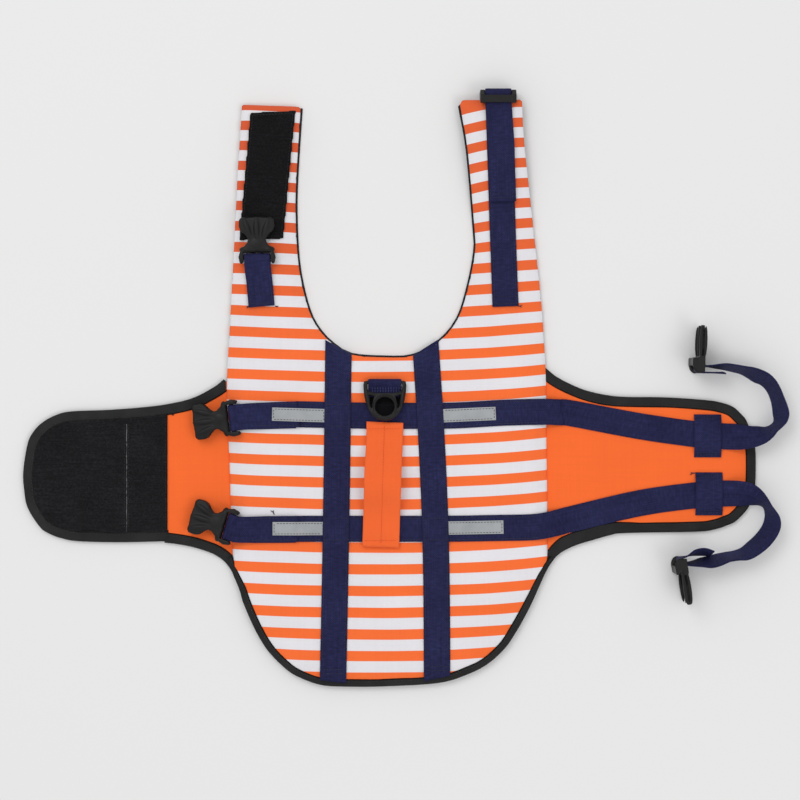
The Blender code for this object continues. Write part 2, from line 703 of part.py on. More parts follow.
# Reflective strips, sewn along the belts
def reflective(name, corners, layer_end_x=None):
    """A strip on a belt. It steps down where the belt's turned-under layer ends, if layer_end_x is given."""
    loop = []
    points = [Vector(c) for c in corners]
    for start, end in zip(points, points[1:] + points[:1]):
        count = max(1, round((end - start).length / 14))
        loop += [start.lerp(end, k / count) for k in range(count)]
    base = ON_PAD + WEB + GAP

    def floor(x, y):
        if layer_end_x is None:
            return base
        return base + (1 - ramp(x, layer_end_x - 1, layer_end_x + 12)) * (SECOND_LAYER + 0.5)

    lines = []
    if layer_end_x is not None:
        foot_y = corners[0][1] - 2
        lines = [((layer_end_x + k, foot_y + 16), (layer_end_x + k, foot_y)) for k in (-1, 3, 7, 12)]
    cut_piece(name, loop, floor, lambda x, y: floor(x, y) + REFLECTIVE_THICK, "grey", lines=lines)


reflective("reflective_upper_left", ((-129.5, -32), (-84, -33), (-84, -20), (-129.5, -18.5)), -106.5)
reflective("reflective_upper_right", ((45.6, -33), (89, -31), (89, -18), (45.6, -20)))
reflective("reflective_lower_left", ((-129, -143.5), (-84.5, -143.5), (-84.5, -130.5), (-129, -130.5)), -106.5)
reflective("reflective_lower_right", ((45.8, -143), (96.5, -142), (96.5, -129), (45.8, -130)))


# Handle: folded cloth sewn down over both belts and arched between
def handle_floor(y):
    arch = math.sin(math.pi * ramp(y, -134, -48))
    return ON_PAD + SECOND_LAYER + 0.4 + HANDLE_ARCH * arch


handle_steps = 22
handle_rows = []
for k in range(handle_steps + 1):
    t = k / handle_steps
    y = HANDLE_TOP_Y + (HANDLE_FOOT_Y - HANDLE_TOP_Y) * t
    handle_rows.append((-19.3 - 4.2 * t, y, handle_floor(y), 0))
webbing("handle", handle_rows, HANDLE_WIDTH, HANDLE_THICK, "orange", 8.0)

# Lead ring and its tab, which is sewn to the back just above the upper belt
ring_x, ring_y, ring_z = RING_BAR
tab_turn = RING_BAR_RADIUS + 0.35 + HALF_WEB
tab_rows = [(ring_x, TAB_FOOT_Y, ON_PAD, 0), (ring_x, -2, ON_PAD, 0), (ring_x, 2, ON_PAD + 0.1, 0)]
tab_rows += bar_turn(RING_BAR, 90, tab_turn)
tab_rows += [
    (ring_x, 2.5, 14.9, 0),
    (ring_x, -2, ON_PAD + SECOND_LAYER + 0.1, 0),
    (ring_x, TAB_FOOT_Y, ON_PAD + SECOND_LAYER, 0),
]
webbing("ring_tab", tab_rows, TAB_WIDTH, step=4.0)


def ring_mesh():
    """The lead ring at its bar: a tapering frame, a round eye and ribs from its shoulders."""
    half = RING_THICK / 2
    outline = [(x, y) for x, y in RING_OUTLINE] + [(-x, y) for x, y in reversed(RING_OUTLINE[:-1])]
    body = extruded("ring_body", outline, -half, half, bevel=0.7)
    window = [(-17.0, 4), (-17.0, -8.5), (-9, -10.6), (9, -10.6), (17.0, -8.5), (17.0, 4)]
    side = [(17.2, -11.4), (16.6, -17), (14.4, -23), (12.2, -27.2), (12.4, -22), (10.6, -15), (9.5, -13.6)]
    steps = [("DIFFERENCE", extruded("ring_window", window, -9, 9))]
    steps.append(("DIFFERENCE", extruded("ring_right", side, -9, 9)))
    steps.append(("DIFFERENCE", extruded("ring_left", [(-x, y) for x, y in side], -9, 9)))
    steps.append(("DIFFERENCE", cylinder("ring_eye", 9.4, (0, -24, -9), (0, -24, 9), sides=24)))
    steps.append(("UNION", cylinder("ring_bar", RING_BAR_RADIUS, (-18.5, 0, 0), (18.5, 0, 0))))
    return joined_mesh(body, steps)


ring_place = Matrix.Translation(Vector(RING_BAR) * MM) @ Matrix.Rotation(math.radians(-RING_TILT), 4, "X")
place_mesh("lead_ring", ring_mesh(), "plastic", ring_place)


# Side-release buckles
def female_mesh():
    """A socket half about its rear bar: mouth along +X, webbing bar along Y."""
    half = BUCKLE_THICK / 2
    body = extruded("female_body", mirrored(FEMALE_OUTLINE), -half, half, bevel=1.2)
    socket = box_loop(SOCKET_START, 50, SOCKET_HALF_WIDTH)
    slot = box_loop(-20, SLOT_END, SLOT_HALF_WIDTH)
    steps = [("DIFFERENCE", extruded("socket", socket, -SOCKET_HALF_HEIGHT, SOCKET_HALF_HEIGHT))]
    steps.append(("DIFFERENCE", extruded("slot", slot, -9, 9)))
    reach = SLOT_HALF_WIDTH + 2
    steps.append(("UNION", cylinder("bar", BAR_RADIUS, (0, -reach, 0), (0, reach, 0))))
    return joined_mesh(body, steps)


female = female_mesh()
for name, (x, y, z, heading, tilt) in FEMALE_BUCKLES.items():
    turn = Matrix.Rotation(math.radians(heading), 4, "Z") @ Matrix.Rotation(math.radians(tilt), 4, "Y")
    place_mesh(name, female.copy(), "plastic", Matrix.Translation(Vector((x, y, z)) * MM) @ turn)


def male_mesh(grip_height, bar_height):
    """A prong half: prongs along +X, webbing bars along Y, and a raised grip bar over the webbing."""
    half = PRONG_THICK / 2
    body = extruded("male_body", box_loop(4.2, 9, PLATE_OUT), -half, half, bevel=0.8)
    steps = []
    profile = [
        (-6.5, -half), (6, -half), (6, half), (2.6, half), (2.6, grip_height - 7), (6.8, grip_height - 4),
        (6.8, grip_height), (-1, grip_height), (-6.5, grip_height - 6),
    ]
    upright = Matrix(((1, 0, 0, 0), (0, 0, -1, 0), (0, 1, 0, 0), (0, 0, 0, 1)))
    for sign in (-1, 1):
        low, high = sorted((sign * SLOT_HALF_WIDTH, sign * (PLATE_OUT - 0.2)))
        plate = extruded(f"plate{sign}", profile, -high, -low, place=upright)
        steps.append(("UNION", plate))
        prong = [(x, sign * y) for x, y in PRONG_OUTLINE]
        steps.append(("UNION", extruded(f"prong{sign}", prong, -2.4, 2.4)))
    steps.append(("UNION", extruded("guide", box_loop(8, GUIDE_LENGTH, 2.2), -1.6, 1.6)))
    grip = box_loop(-0.8, 6.6, SLOT_HALF_WIDTH + 1)
    steps.append(("UNION", extruded("grip", grip, grip_height - 2.2, grip_height - 0.15)))
    reach = SLOT_HALF_WIDTH + 2
    ends = [(ADJUSTER_BAR_X, sign * reach, bar_height) for sign in (-1, 1)]
    steps.append(("UNION", cylinder("wrap_bar", BAR_RADIUS, *ends)))
    return joined_mesh(body, steps)


neck_place = axes_matrix(NECK_BUCKLE, (0, -1, 0), (0, 0, 1))
place_mesh("buckle_male_neck", male_mesh(NECK_GRIP_HEIGHT, neck_bar[2] - NECK_BUCKLE[2]), "plastic", neck_place)

UPRIGHT_BAR_HEIGHT = 1.5
for name, upright_bar, forward, up in (
    ("buckle_male_upper", UPPER_BAR, Vector((0.05, 1, 0)), Vector((-1, 0, 0))),
    ("buckle_male_lower", LOWER_BAR, Vector((0.19, -1, 0)), Vector((-1, 0, 0))),
):
    forward.normalize()
    level_up = (up - forward * up.dot(forward)).normalized()
    origin = Vector(upright_bar) - forward * ADJUSTER_BAR_X - level_up * UPRIGHT_BAR_HEIGHT
    upright_place = axes_matrix(origin, forward, level_up)
    place_mesh(name, male_mesh(BELT_GRIP_HEIGHT, UPRIGHT_BAR_HEIGHT), "plastic", upright_place)
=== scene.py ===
import math

import bmesh
import bpy
import numpy as np
from mathutils import Matrix, Vector, noise
from mathutils.bvhtree import BVHTree
from mathutils.kdtree import KDTree


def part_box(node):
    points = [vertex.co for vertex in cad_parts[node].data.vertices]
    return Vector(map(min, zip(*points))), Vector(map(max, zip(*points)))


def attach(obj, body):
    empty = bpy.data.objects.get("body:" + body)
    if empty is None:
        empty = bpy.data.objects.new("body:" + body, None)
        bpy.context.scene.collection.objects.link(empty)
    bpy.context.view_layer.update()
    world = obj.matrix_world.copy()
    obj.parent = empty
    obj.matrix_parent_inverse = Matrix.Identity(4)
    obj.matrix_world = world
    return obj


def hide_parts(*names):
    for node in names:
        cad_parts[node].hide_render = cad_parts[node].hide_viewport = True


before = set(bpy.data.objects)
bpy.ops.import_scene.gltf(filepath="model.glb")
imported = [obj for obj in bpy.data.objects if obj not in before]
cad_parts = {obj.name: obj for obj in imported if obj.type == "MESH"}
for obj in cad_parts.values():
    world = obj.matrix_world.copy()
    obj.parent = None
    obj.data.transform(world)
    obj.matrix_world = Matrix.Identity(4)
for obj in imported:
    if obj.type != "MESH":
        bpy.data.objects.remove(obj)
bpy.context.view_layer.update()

# ---------------------------------------------------------------------------------------------
# Padded back with its two neck arms. A sheet of closed-cell foam inside striped polyester cloth,
# cut as one piece and turned in at its edges. The straps are sewn down through it, so the cloth
# stands a little proud between them.
# ---------------------------------------------------------------------------------------------
MM = 0.001
PAD_VOXEL = 3.2 * MM
# The cloth is blown out by this pressure in this many steps, and never further than the puff
PAD_PRESSURE = 4
PUFF_STEPS = 20
PAD_PUFF = 2.2 * MM
# Steeper faces than this, by the upward part of their normal, are the rim
RIM_SLOPE = 0.8
# Cloth this near to the table or under a strap is held down
HELD_WITHIN = 4 * MM
# The arms are stretched a little past this y, over this run
ARM_ENDS_Y = 262 * MM
ARM_ENDS_RUN = 12 * MM
ARM_STRETCH = 1.6 * MM
ORANGE = "FF743A"
# Painted shade: the stripes' orange darkens to this colour up the arms
SHADED_ORANGE = "DB5E3A"
OFF_WHITE = "EAE8EC"

# Soft folds pressed into the cloth: x, y, x, y of the fold's line, half width and height (minus is a trough), all in mm
BACK_FOLDS = (
    (-150, 62, -112, 40, 7, -0.8), (-140, 14, -92, 4, 9, 0.7), (-158, -70, -120, -64, 8, -0.6),
    (-122, -92, -96, -110, 6, 0.6), (-150, -176, -104, -168, 9, -0.7), (-128, -226, -96, -214, 8, 0.8),
    (-44, -176, -8, -186, 9, -0.6), (-50, -236, 6, -226, 11, 0.7), (-40, -62, -2, -56, 8, 0.5),
    (48, -64, 118, -72, 10, 0.6), (60, -96, 128, -104, 8, -0.6), (52, -172, 112, -160, 9, 0.7),
    (60, -214, 96, -232, 8, -0.8), (66, 26, 124, 34, 10, 0.7), (84, 62, 128, 52, 8, -0.6),
    (44, 6, 96, 2, 7, -0.5), (-166, 120, -126, 112, 6, -0.6), (-118, 92, -152, 74, 7, 0.6),
    (72, 118, 84, 104, 5, -0.6), (60, 214, 76, 226, 5, -0.5), (58, 252, 74, 246, 5, 0.5),
    (108, 150, 122, 160, 5, -0.5), (-60, 22, -20, 16, 7, 0.5),
)

# Outer line of the back, from the left arm's end round the tail and up to the right arm's end, then the neckline
BACK_SIDES = (
    (-160, 277), (-164, 215), (-168, 135), (-172.5, 52), (-175, -2), (-173, -56), (-169.5, -157), (-166.5, -181),
)
BACK_RIGHT = ((139.5, -177), (140.5, -119), (139.5, -48), (139, 7), (135, 77), (126.5, 158), (117.5, 238), (115, 281))
NECKLINE = (
    (53.5, 276), (61, 233), (68, 156), (68.5, 134), (62, 100), (51.5, 68), (33, 46), (8, 32.5), (-20, 31),
    (-52, 33.5), (-69, 43), (-83, 57), (-94, 78), (-103.5, 120), (-106.5, 171), (-105.5, 212), (-101.5, 275),
)

# Height of the stripes' top and bottom band, with how many bands lie between: y top, y bottom in mm, bands
STRIPE_RUNS = ((277.7, 159.7, 6), (159.7, -88.8, 12), (-88.8, -300.4, 10))
STRIPE_SHARE = 0.475


def linear(code):
    """A colour from its six-figure code, as the shader wants it."""
    parts = [int(code[i : i + 2], 16) / 255 for i in (0, 2, 4)]
    return (*[p / 12.92 if p <= 0.04045 else ((p + 0.055) / 1.055) ** 2.4 for p in parts], 1)


def smooth_run(rows, step):
    """A smooth curve through the rows, with a point about every step."""
    points = [Vector(row) for row in rows]
    ends = [2 * points[0] - points[1], *points, 2 * points[-1] - points[-2]]
    curve = [points[0]]
    for before, start, end, after in zip(ends, ends[1:], ends[2:], ends[3:]):
        count = max(1, round((end - start).length / step))
        for k in range(1, count + 1):
            t = k / count
            curve.append(
                start * (1 + t * t * (1.5 * t - 2.5))
                + end * t * (0.5 + t * (2 - 1.5 * t))
                + before * t * (-0.5 + t * (1 - 0.5 * t))
                + after * t * t * (0.5 * t - 0.5)
            )
    return curve


def even_run(rows, step):
    """Points a step apart along a smooth curve through the rows."""
    curve = smooth_run(rows, step / 4)
    kept = [curve[0]]
    gone = 0.0
    for last, point in zip(curve, curve[1:]):
        gone += (point - last).length
        if gone >= step:
            kept.append(point)
            gone -= step
    return kept


def linked(name, mesh):
    """A new object in the scene."""
    obj = bpy.data.objects.new(name, mesh)
    bpy.context.scene.collection.objects.link(obj)
    return obj


def copied(name, solid):
    """A new object with a CAD solid's form, its loose triangles merged."""
    obj = linked(name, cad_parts[solid].data.copy())
    obj.data.materials.clear()
    bm = bmesh.new()
    bm.from_mesh(obj.data)
    bmesh.ops.remove_doubles(bm, verts=bm.verts, dist=0.00001)
    bm.to_mesh(obj.data)
    bm.free()
    return obj


def apply(obj, kind, **settings):
    """Adds a modifier with its settings and applies it."""
    bpy.ops.object.select_all(action="DESELECT")
    obj.select_set(True)
    bpy.context.view_layer.objects.active = obj
    modifier = obj.modifiers.new(kind, kind)
    for setting, value in settings.items():
        setattr(modifier, setting, value)
    bpy.ops.object.modifier_apply(modifier=modifier.name)


def shade_smooth(obj):
    obj.data.polygons.foreach_set("use_smooth", [True] * len(obj.data.polygons))


def places(obj):
    """A mesh's points as an array."""
    flat = np.empty(len(obj.data.vertices) * 3)
    obj.data.vertices.foreach_get("co", flat)
    return flat.reshape(-1, 3)


def set_places(obj, points):
    obj.data.vertices.foreach_set("co", points.ravel())
    obj.data.update()


def folded(obj, folds, lowest=-1.0):
    """Presses soft folds into a piece, with tapering ends. Points below lowest stay where they are."""
    points = places(obj)
    lift = np.zeros(len(points))
    for x0, y0, x1, y1, half_width, height in folds:
        start = np.array((x0, y0)) * MM
        along = np.array((x1, y1)) * MM - start
        t = ((points[:, :2] - start) @ along) / (along @ along)
        bend = 0.10 * np.sin(2.6 * t + x0) * np.linalg.norm(along)
        off = points[:, :2] - start - np.outer(t, along)
        away = off @ np.array((-along[1], along[0])) / np.linalg.norm(along) - bend
        taper = np.clip(1 - (2 * t - 1) ** 2, 0, 1)
        lift += height * MM * taper * np.exp(-((away / (half_width * MM)) ** 2))
    points[:, 2] += np.where(points[:, 2] > lowest, lift, 0)
    set_places(obj, points)


def puckered(obj, line, reach, depth, pitch, lowest):
    """Draws a piece in along a sewn edge with short uneven puckers that fade away from it."""
    run = even_run(line, 2.0)
    tree = KDTree(len(run))
    for i, point in enumerate(run):
        tree.insert((point.x * MM, point.y * MM, 0), i)
    tree.balance()
    points = places(obj)
    for i, (x, y, z) in enumerate(points):
        _, near, away = tree.find((x, y, 0))
        if z > lowest and away < reach:
            swing = noise.noise(Vector((near * 2.0 / pitch, 0.3, line[0][0])))
            points[i, 2] += depth * swing * (1 - away / reach) ** 1.5
    set_places(obj, points)


def search_tree(objects):
    """A tree for casting rays at the surfaces of some objects."""
    verts, faces = [], []
    for obj in objects:
        base = len(verts)
        verts += [v.co.copy() for v in obj.data.vertices]
        faces += [[base + k for k in p.vertices] for p in obj.data.polygons]
    return BVHTree.FromPolygons(verts, faces)


def tree_of_solids(*names):
    """The same over the CAD solids of those names."""
    return search_tree([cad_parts[name] for name in names])


def new_node(tree, kind, inputs=(), **settings):
    """A shader node with its settings, and its inputs linked or set."""
    made = tree.nodes.new("ShaderNode" + kind)
    for setting, value in settings.items():
        setattr(made, setting, value)
    for place, value in dict(inputs).items():
        if isinstance(value, bpy.types.NodeSocket):
            tree.links.new(value, made.inputs[place])
        else:
            made.inputs[place].default_value = value
    return made


def calc(tree, operation, *values):
    """The result of a Math node."""
    return new_node(tree, "Math", enumerate(values), operation=operation).outputs[0]


def ranged(tree, value, low, high, new_low, new_high):
    """A value spread from one range to another, and held inside it."""
    return new_node(tree, "MapRange", {0: value, 1: low, 2: high, 3: new_low, 4: new_high}).outputs[0]


def noisy(tree, where, scale, detail, roughness=0.5):
    """Soft noise, mostly between 0.3 and 0.7."""
    return new_node(tree, "TexNoise", {0: where, 2: scale, 3: detail, 4: roughness}).outputs[0]


def blend_colour(tree, factor, first, second, mode="MIX"):
    """Two colours mixed by a factor."""
    inputs = {0: factor, 6: first, 7: second}
    return new_node(tree, "Mix", inputs, data_type="RGBA", blend_type=mode).outputs[2]


def tinted(tree, shader, colour, tone):
    """A base colour that a tone makes lighter and darker over the surface."""
    tree.links.new(blend_colour(tree, 1.0, colour, tone, "MULTIPLY"), shader["Base Color"])


def bumped(tree, shader, height, strength, depth):
    """Fine relief from a height, too small to model."""
    bump = new_node(tree, "Bump", {0: strength, 1: depth})
    tree.links.new(height, bump.inputs["Height"])
    tree.links.new(bump.outputs[0], shader["Normal"])


def finish_of(name, roughness, **values):
    """A material, with the values that are the same all over set on its own shader."""
    material = bpy.data.materials.new(name)
    material.use_nodes = True
    shader = material.node_tree.nodes["Principled BSDF"]
    shader.inputs["Roughness"].default_value = roughness
    for socket, value in values.items():
        shader.inputs[socket.replace("_", " ")].default_value = value
    return material, material.node_tree, shader.inputs


def new_group(name, inputs, outputs):
    """An empty node group, with its inside ends."""
    group = bpy.data.node_groups.new(name, "ShaderNodeTree")
    for label, kind, value in inputs:
        socket = group.interface.new_socket(label, in_out="INPUT", socket_type=kind)
        if value is not None:
            socket.default_value = value
    for label, kind in outputs:
        group.interface.new_socket(label, in_out="OUTPUT", socket_type=kind)
    return group, group.nodes.new("NodeGroupInput").outputs, group.nodes.new("NodeGroupOutput").inputs


def use_group(tree, group, inputs):
    """The outputs of a node group placed in a material."""
    return new_node(tree, "Group", inputs, node_tree=group).outputs


# Plain weave: threads over and under each other, with an uneven shade from thread to thread
weave, inner, outer = new_group(
    "plain_weave",
    (("Vector", "NodeSocketVector", None), ("Threads per metre", "NodeSocketFloat", 1500.0)),
    (("Height", "NodeSocketFloat"), ("Shade", "NodeSocketFloat")),
)
scaled = new_node(weave, "VectorMath", {0: inner["Vector"]}, operation="SCALE")
weave.links.new(inner["Threads per metre"], scaled.inputs["Scale"])
split = new_node(weave, "SeparateXYZ", {0: scaled.outputs[0]}).outputs
warp = calc(weave, "ABSOLUTE", calc(weave, "SINE", calc(weave, "MULTIPLY", split[0], math.pi)))
weft = calc(weave, "ABSOLUTE", calc(weave, "SINE", calc(weave, "MULTIPLY", split[1], math.pi)))
both = calc(weave, "ADD", calc(weave, "FLOOR", split[0]), calc(weave, "FLOOR", split[1]))
over = calc(weave, "MULTIPLY", calc(weave, "FRACT", calc(weave, "MULTIPLY", both, 0.5)), 2.0)
height = new_node(weave, "Mix", {0: over, 2: warp, 3: weft}, data_type="FLOAT").outputs[0]
weave.links.new(height, outer["Height"])
slub_places = new_node(weave, "Mapping", {0: scaled.outputs[0], 3: (0.35, 0.012, 0.1)}).outputs[0]
slub_weft = new_node(weave, "Mapping", {0: scaled.outputs[0], 3: (0.012, 0.35, 0.1)}).outputs[0]
slubs = [noisy(weave, p, 1.0, 2.0) for p in (slub_places, slub_weft)]
weave.links.new(calc(weave, "MULTIPLY", calc(weave, "ADD", *slubs), 0.5), outer["Shade"])

# Handling: broad faint patches where cloth has been pressed, folded and brushed
handling, inner, outer = new_group(
    "handling",
    (("Vector", "NodeSocketVector", None), ("Size", "NodeSocketFloat", 20.0)),
    (("Patches", "NodeSocketFloat"), ("Specks", "NodeSocketFloat")),
)
patches = noisy(handling, inner["Vector"], inner["Size"], 3.0, 0.55)
handling.links.new(patches, outer["Patches"])
specks = noisy(handling, inner["Vector"], 900.0, 2.0)
handling.links.new(specks, outer["Specks"])


def cloth_finish(name, colour_at, threads, bump, low_tint, roughness=0.85):
    """A matt woven cloth. colour_at gives its colour from the material's tree and its object coordinates."""
    material, tree, shader = finish_of(
        name, roughness, Sheen_Weight=0.05, Sheen_Roughness=0.55, Specular_IOR_Level=0.08
    )
    where = new_node(tree, "TexCoord").outputs["Object"]
    threads_of = use_group(tree, weave, {"Vector": where, "Threads per metre": threads})
    handled = use_group(tree, handling, {"Vector": where, "Size": 16.0})
    colour = colour_at(tree, where)
    patchy = ranged(tree, handled["Patches"], 0.3, 0.7, low_tint, 1.0)
    thready = ranged(tree, threads_of["Shade"], 0.3, 0.7, 0.985, 1.025)
    # Painted shade: the colour is darker in the weave's low places
    groove_shade = ranged(tree, threads_of["Height"], 0.0, 0.5, 0.93, 1.0)
    tint = calc(tree, "MULTIPLY", calc(tree, "MULTIPLY", patchy, thready), groove_shade)
    tinted(tree, shader, colour, tint)
    rough = ranged(tree, handled["Specks"], 0.0, 1.0, roughness - 0.08, roughness + 0.06)
    tree.links.new(rough, shader["Roughness"])
    raised = new_node(tree, "Bump", {0: bump, 1: 0.00025})
    tree.links.new(threads_of["Height"], raised.inputs["Height"])
    broad = new_node(tree, "Bump", {0: 0.25, 1: 0.004})
    tree.links.new(handled["Patches"], broad.inputs["Height"])
    tree.links.new(raised.outputs[0], broad.inputs["Normal"])
    tree.links.new(broad.outputs[0], shader["Normal"])
    return material


def stripes(tree, where):
    """Orange bands across off-white. They sag in the middle and turn down at the right arm's inner edge.

    Up the arms their orange is painted darker, most of all on the left: painted shade.
    """
    x, y, _ = new_node(tree, "SeparateXYZ", {0: where}).outputs
    off_centre = calc(tree, "MULTIPLY_ADD", x, 10.204, 0.297)
    squared = calc(tree, "MULTIPLY", off_centre, off_centre)
    cubed = calc(tree, "MULTIPLY", squared, off_centre)
    sag = calc(tree, "MULTIPLY_ADD", squared, -2.17 * MM, 3.7 * MM)
    sag = calc(tree, "MULTIPLY_ADD", cubed, -0.28 * MM, sag)
    inner_edge = ranged(tree, x, 0.083, 0.055, 0.0, 1.0)
    arm = ranged(tree, y, 0.12, 0.19, 0.0, 1.0)
    right = calc(tree, "GREATER_THAN", x, 0.0)
    turn = calc(tree, "MULTIPLY", calc(tree, "MULTIPLY", inner_edge, arm), right)
    wander = noisy(tree, where, 14.0, 1.0)
    level = calc(tree, "ADD", y, calc(tree, "ADD", sag, calc(tree, "MULTIPLY", turn, 4.5 * MM)))
    level = calc(tree, "ADD", level, calc(tree, "MULTIPLY_ADD", wander, 1.2 * MM, -0.6 * MM))
    band = None
    for top, bottom, count in STRIPE_RUNS:
        part = ranged(tree, level, top * MM, bottom * MM, 0.0, count)
        band = part if band is None else calc(tree, "ADD", band, part)
    along_band = calc(tree, "FRACT", calc(tree, "ADD", band, 0.5))
    from_middle = calc(tree, "ABSOLUTE", calc(tree, "SUBTRACT", along_band, 0.5))
    edge = STRIPE_SHARE / 2
    orange = ranged(tree, from_middle, edge + 0.006, edge - 0.006, 0.0, 1.0)
    # Painted shade: the orange darkens up the arms, less on the right arm than the left
    up_the_arms = ranged(tree, y, 0.03, 0.18, 0.0, 1.0)
    each_arm = ranged(tree, x, -0.05, 0.05, 1.0, 0.62)
    painted_arm_shade = calc(tree, "MULTIPLY", up_the_arms, each_arm)
    arm_shaded_orange = blend_colour(tree, painted_arm_shade, linear(ORANGE), linear(SHADED_ORANGE))
    return blend_colour(tree, orange, linear(OFF_WHITE), arm_shaded_orange)


back = copied("back_cushion", "back_panel")
apply(back, "REMESH", mode="VOXEL", voxel_size=PAD_VOXEL)
apply(back, "SMOOTH", factor=0.5, iterations=2)
apply(back, "SHRINKWRAP", target=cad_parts["back_panel"])
sewn_on = tree_of_solids(
    "belt_upper", "belt_lower", "spine_strap_left", "spine_strap_right", "neck_strap_left", "neck_strap_right",
    "neck_loop_panel", "binding_tail", "ring_tab",
)
before = places(back)
free = tree_of_solids("back_panel")
held = back.vertex_groups.new(name="held")
rim = back.vertex_groups.new(name="rim")
for i, point in enumerate(before):
    if abs(back.data.vertices[i].normal.z) < RIM_SLOPE:
        rim.add([i], 1.0, "REPLACE")
    low = free.ray_cast(Vector((point[0], point[1], -0.01)), Vector((0, 0, 1)))[0]
    under = sewn_on.ray_cast(Vector(point), Vector((0, 0, 1)))[0]
    if low is None or point[2] < low.z + HELD_WITHIN or (under and under.z - point[2] < HELD_WITHIN):
        held.add([i], 1.0, "REPLACE")
cloth = back.modifiers.new("puff", "CLOTH")
cloth.settings.quality = 4
cloth.settings.use_pressure = True
cloth.settings.uniform_pressure_force = PAD_PRESSURE
cloth.settings.vertex_group_mass = "held"
cloth.settings.effector_weights.gravity = 0
for step in range(1, PUFF_STEPS + 1):
    bpy.context.scene.frame_set(step)
bpy.ops.object.modifier_apply(modifier="puff")
bpy.context.scene.frame_set(1)
moved = places(back) - before
most = np.linalg.norm(moved, axis=1).max()
set_places(back, before + moved * min(1.0, PAD_PUFF / most))
apply(back, "SUBSURF", levels=1, render_levels=1)
apply(back, "SHRINKWRAP", target=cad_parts["back_panel"], vertex_group="rim", offset=0.5 * MM)
points = places(back)
points[:, 1] += ARM_STRETCH * np.clip((points[:, 1] - ARM_ENDS_Y) / ARM_ENDS_RUN, 0, 1)
set_places(back, points)
folded(back, BACK_FOLDS, lowest=6 * MM)
for line in (BACK_SIDES, BACK_RIGHT, NECKLINE):
    puckered(back, line, 16 * MM, 1.0 * MM, 8.0, 3.5 * MM)
shade_smooth(back)
back.data.materials.append(cloth_finish("striped_cloth", stripes, 1350.0, 0.35, 0.95))
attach(back, "root")
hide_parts("back_panel")


lining = copied("lining_cloth", "lining")
apply(lining, "BEVEL", width=0.3 * MM, segments=2, limit_method="ANGLE", angle_limit=math.radians(40))
bpy.ops.object.shade_smooth_by_angle(angle=math.radians(50))
mesh_cloth, tree, shader = finish_of("lining_mesh", 0.9, Sheen_Weight=0.1, Specular_IOR_Level=0.2)
where = new_node(tree, "TexCoord").outputs["Object"]
holes = new_node(tree, "TexVoronoi", {0: where, 2: 520.0}, feature="F1")
hole = ranged(tree, holes.outputs["Distance"], 0.22, 0.5, 0.35, 1.0)
patches = use_group(tree, handling, {"Vector": where, "Size": 12.0})["Patches"]
tone = calc(tree, "MULTIPLY", hole, ranged(tree, patches, 0.0, 1.0, 0.75, 1.25))
tinted(tree, shader, linear("2C2C30"), tone)
bumped(tree, shader, hole, 0.6, 0.0004)
lining.data.materials.append(mesh_cloth)
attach(lining, "root")
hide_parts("lining")

# ---------------------------------------------------------------------------------------------
# Belly wings. One layer of orange cloth on each side, sewn into the back's side seam. They lie
# slack, so low folds run out from the seam and from under the belts.
# ---------------------------------------------------------------------------------------------
# Distance of the side seams from the middle line, left and right, and how the wings are drawn in under them
SEAM_LEFT = 182 * MM
SEAM_RIGHT = 150 * MM
TUCK = 2.5 * MM
TUCK_RUN = 6 * MM
# Soft folds in each wing, as on the back
WINGS = {
    "wing_left": (
        (-228, -28, -182, -60, 9, 0.7), (-226, -84, -178, -76, 10, -0.5), (-224, -116, -184, -98, 8, 0.6),
        (-206, -150, -182, -124, 7, -0.5), (-232, -60, -200, -66, 6, -0.4),
    ),
    "wing_right": (
        (150, -58, 236, -72, 9, 0.7), (168, -96, 262, -86, 10, -0.6), (252, -66, 322, -84, 8, 0.6),
        (150, -150, 184, -120, 8, 0.5), (216, -24, 282, -32, 6, -0.4), (206, -128, 292, -120, 7, 0.5),
        (146, -20, 168, -6, 6, -0.5), (304, -64, 330, -92, 7, -0.5),
    ),
}
orange_cloth = cloth_finish("orange_cloth", lambda tree, where: linear("FF7134"), 1500.0, 0.3, 0.975)
for solid, folds in WINGS.items():
    wing = copied(solid + "_cloth", solid)
    apply(wing, "REMESH", mode="VOXEL", voxel_size=1.6 * MM)
    apply(wing, "SMOOTH", factor=0.5, iterations=2)
    folded(wing, folds)
    points = places(wing)
    seam = np.where(points[:, 0] < 0, SEAM_LEFT, SEAM_RIGHT)
    tucked = np.clip((seam - abs(points[:, 0])) / TUCK_RUN, 0, 1)
    points[:, 0] -= np.sign(points[:, 0]) * TUCK * tucked
    set_places(wing, points)
    shade_smooth(wing)
    wing.data.materials.append(orange_cloth)
    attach(wing, "root")
    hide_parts(solid)
    low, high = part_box(solid)

# ---------------------------------------------------------------------------------------------
# Edge binding. Ribbed black tape folded round the wings and the tail and sewn through near its
# inner edge. It is cut where it runs into the side seams, and one end laps the other at the left.
# ---------------------------------------------------------------------------------------------
TAIL_LINE = (
    (-173.6, -166), (-171.6, -174), (-168.6, -182), (-165.2, -190), (-161.6, -199), (-158, -211), (-147, -236),
    (-135, -256), (-121, -271), (-107, -281.5), (-83, -290.5), (-57, -292.4), (-16, -292), (35, -288.5), (65, -279),
    (83, -269), (99, -254), (111, -236), (123, -214), (133, -192), (138.3, -180.5), (143, -172.5), (147.5, -166.5),
)
LEFT_WING_LINE = (
    (-177.5, 9), (-187, 1.5), (-207, -9), (-228, -14.5), (-252, -18), (-290, -21), (-327, -22.5), (-342, -26),
    (-355, -33), (-364, -42), (-370, -54), (-374.3, -81), (-373.5, -99), (-370, -117), (-358, -136),
    (-349, -142.5), (-337, -147), (-320, -150), (-282, -151), (-240, -150.2), (-231, -149.8),
)
LEFT_REAR_LINE = (
    (-235.6, -151.4), (-222, -153), (-207, -156), (-190, -161.5), (-181, -166.5), (-175, -172),
    (-170, -179), (-166.2, -187), (-163.4, -194),
)
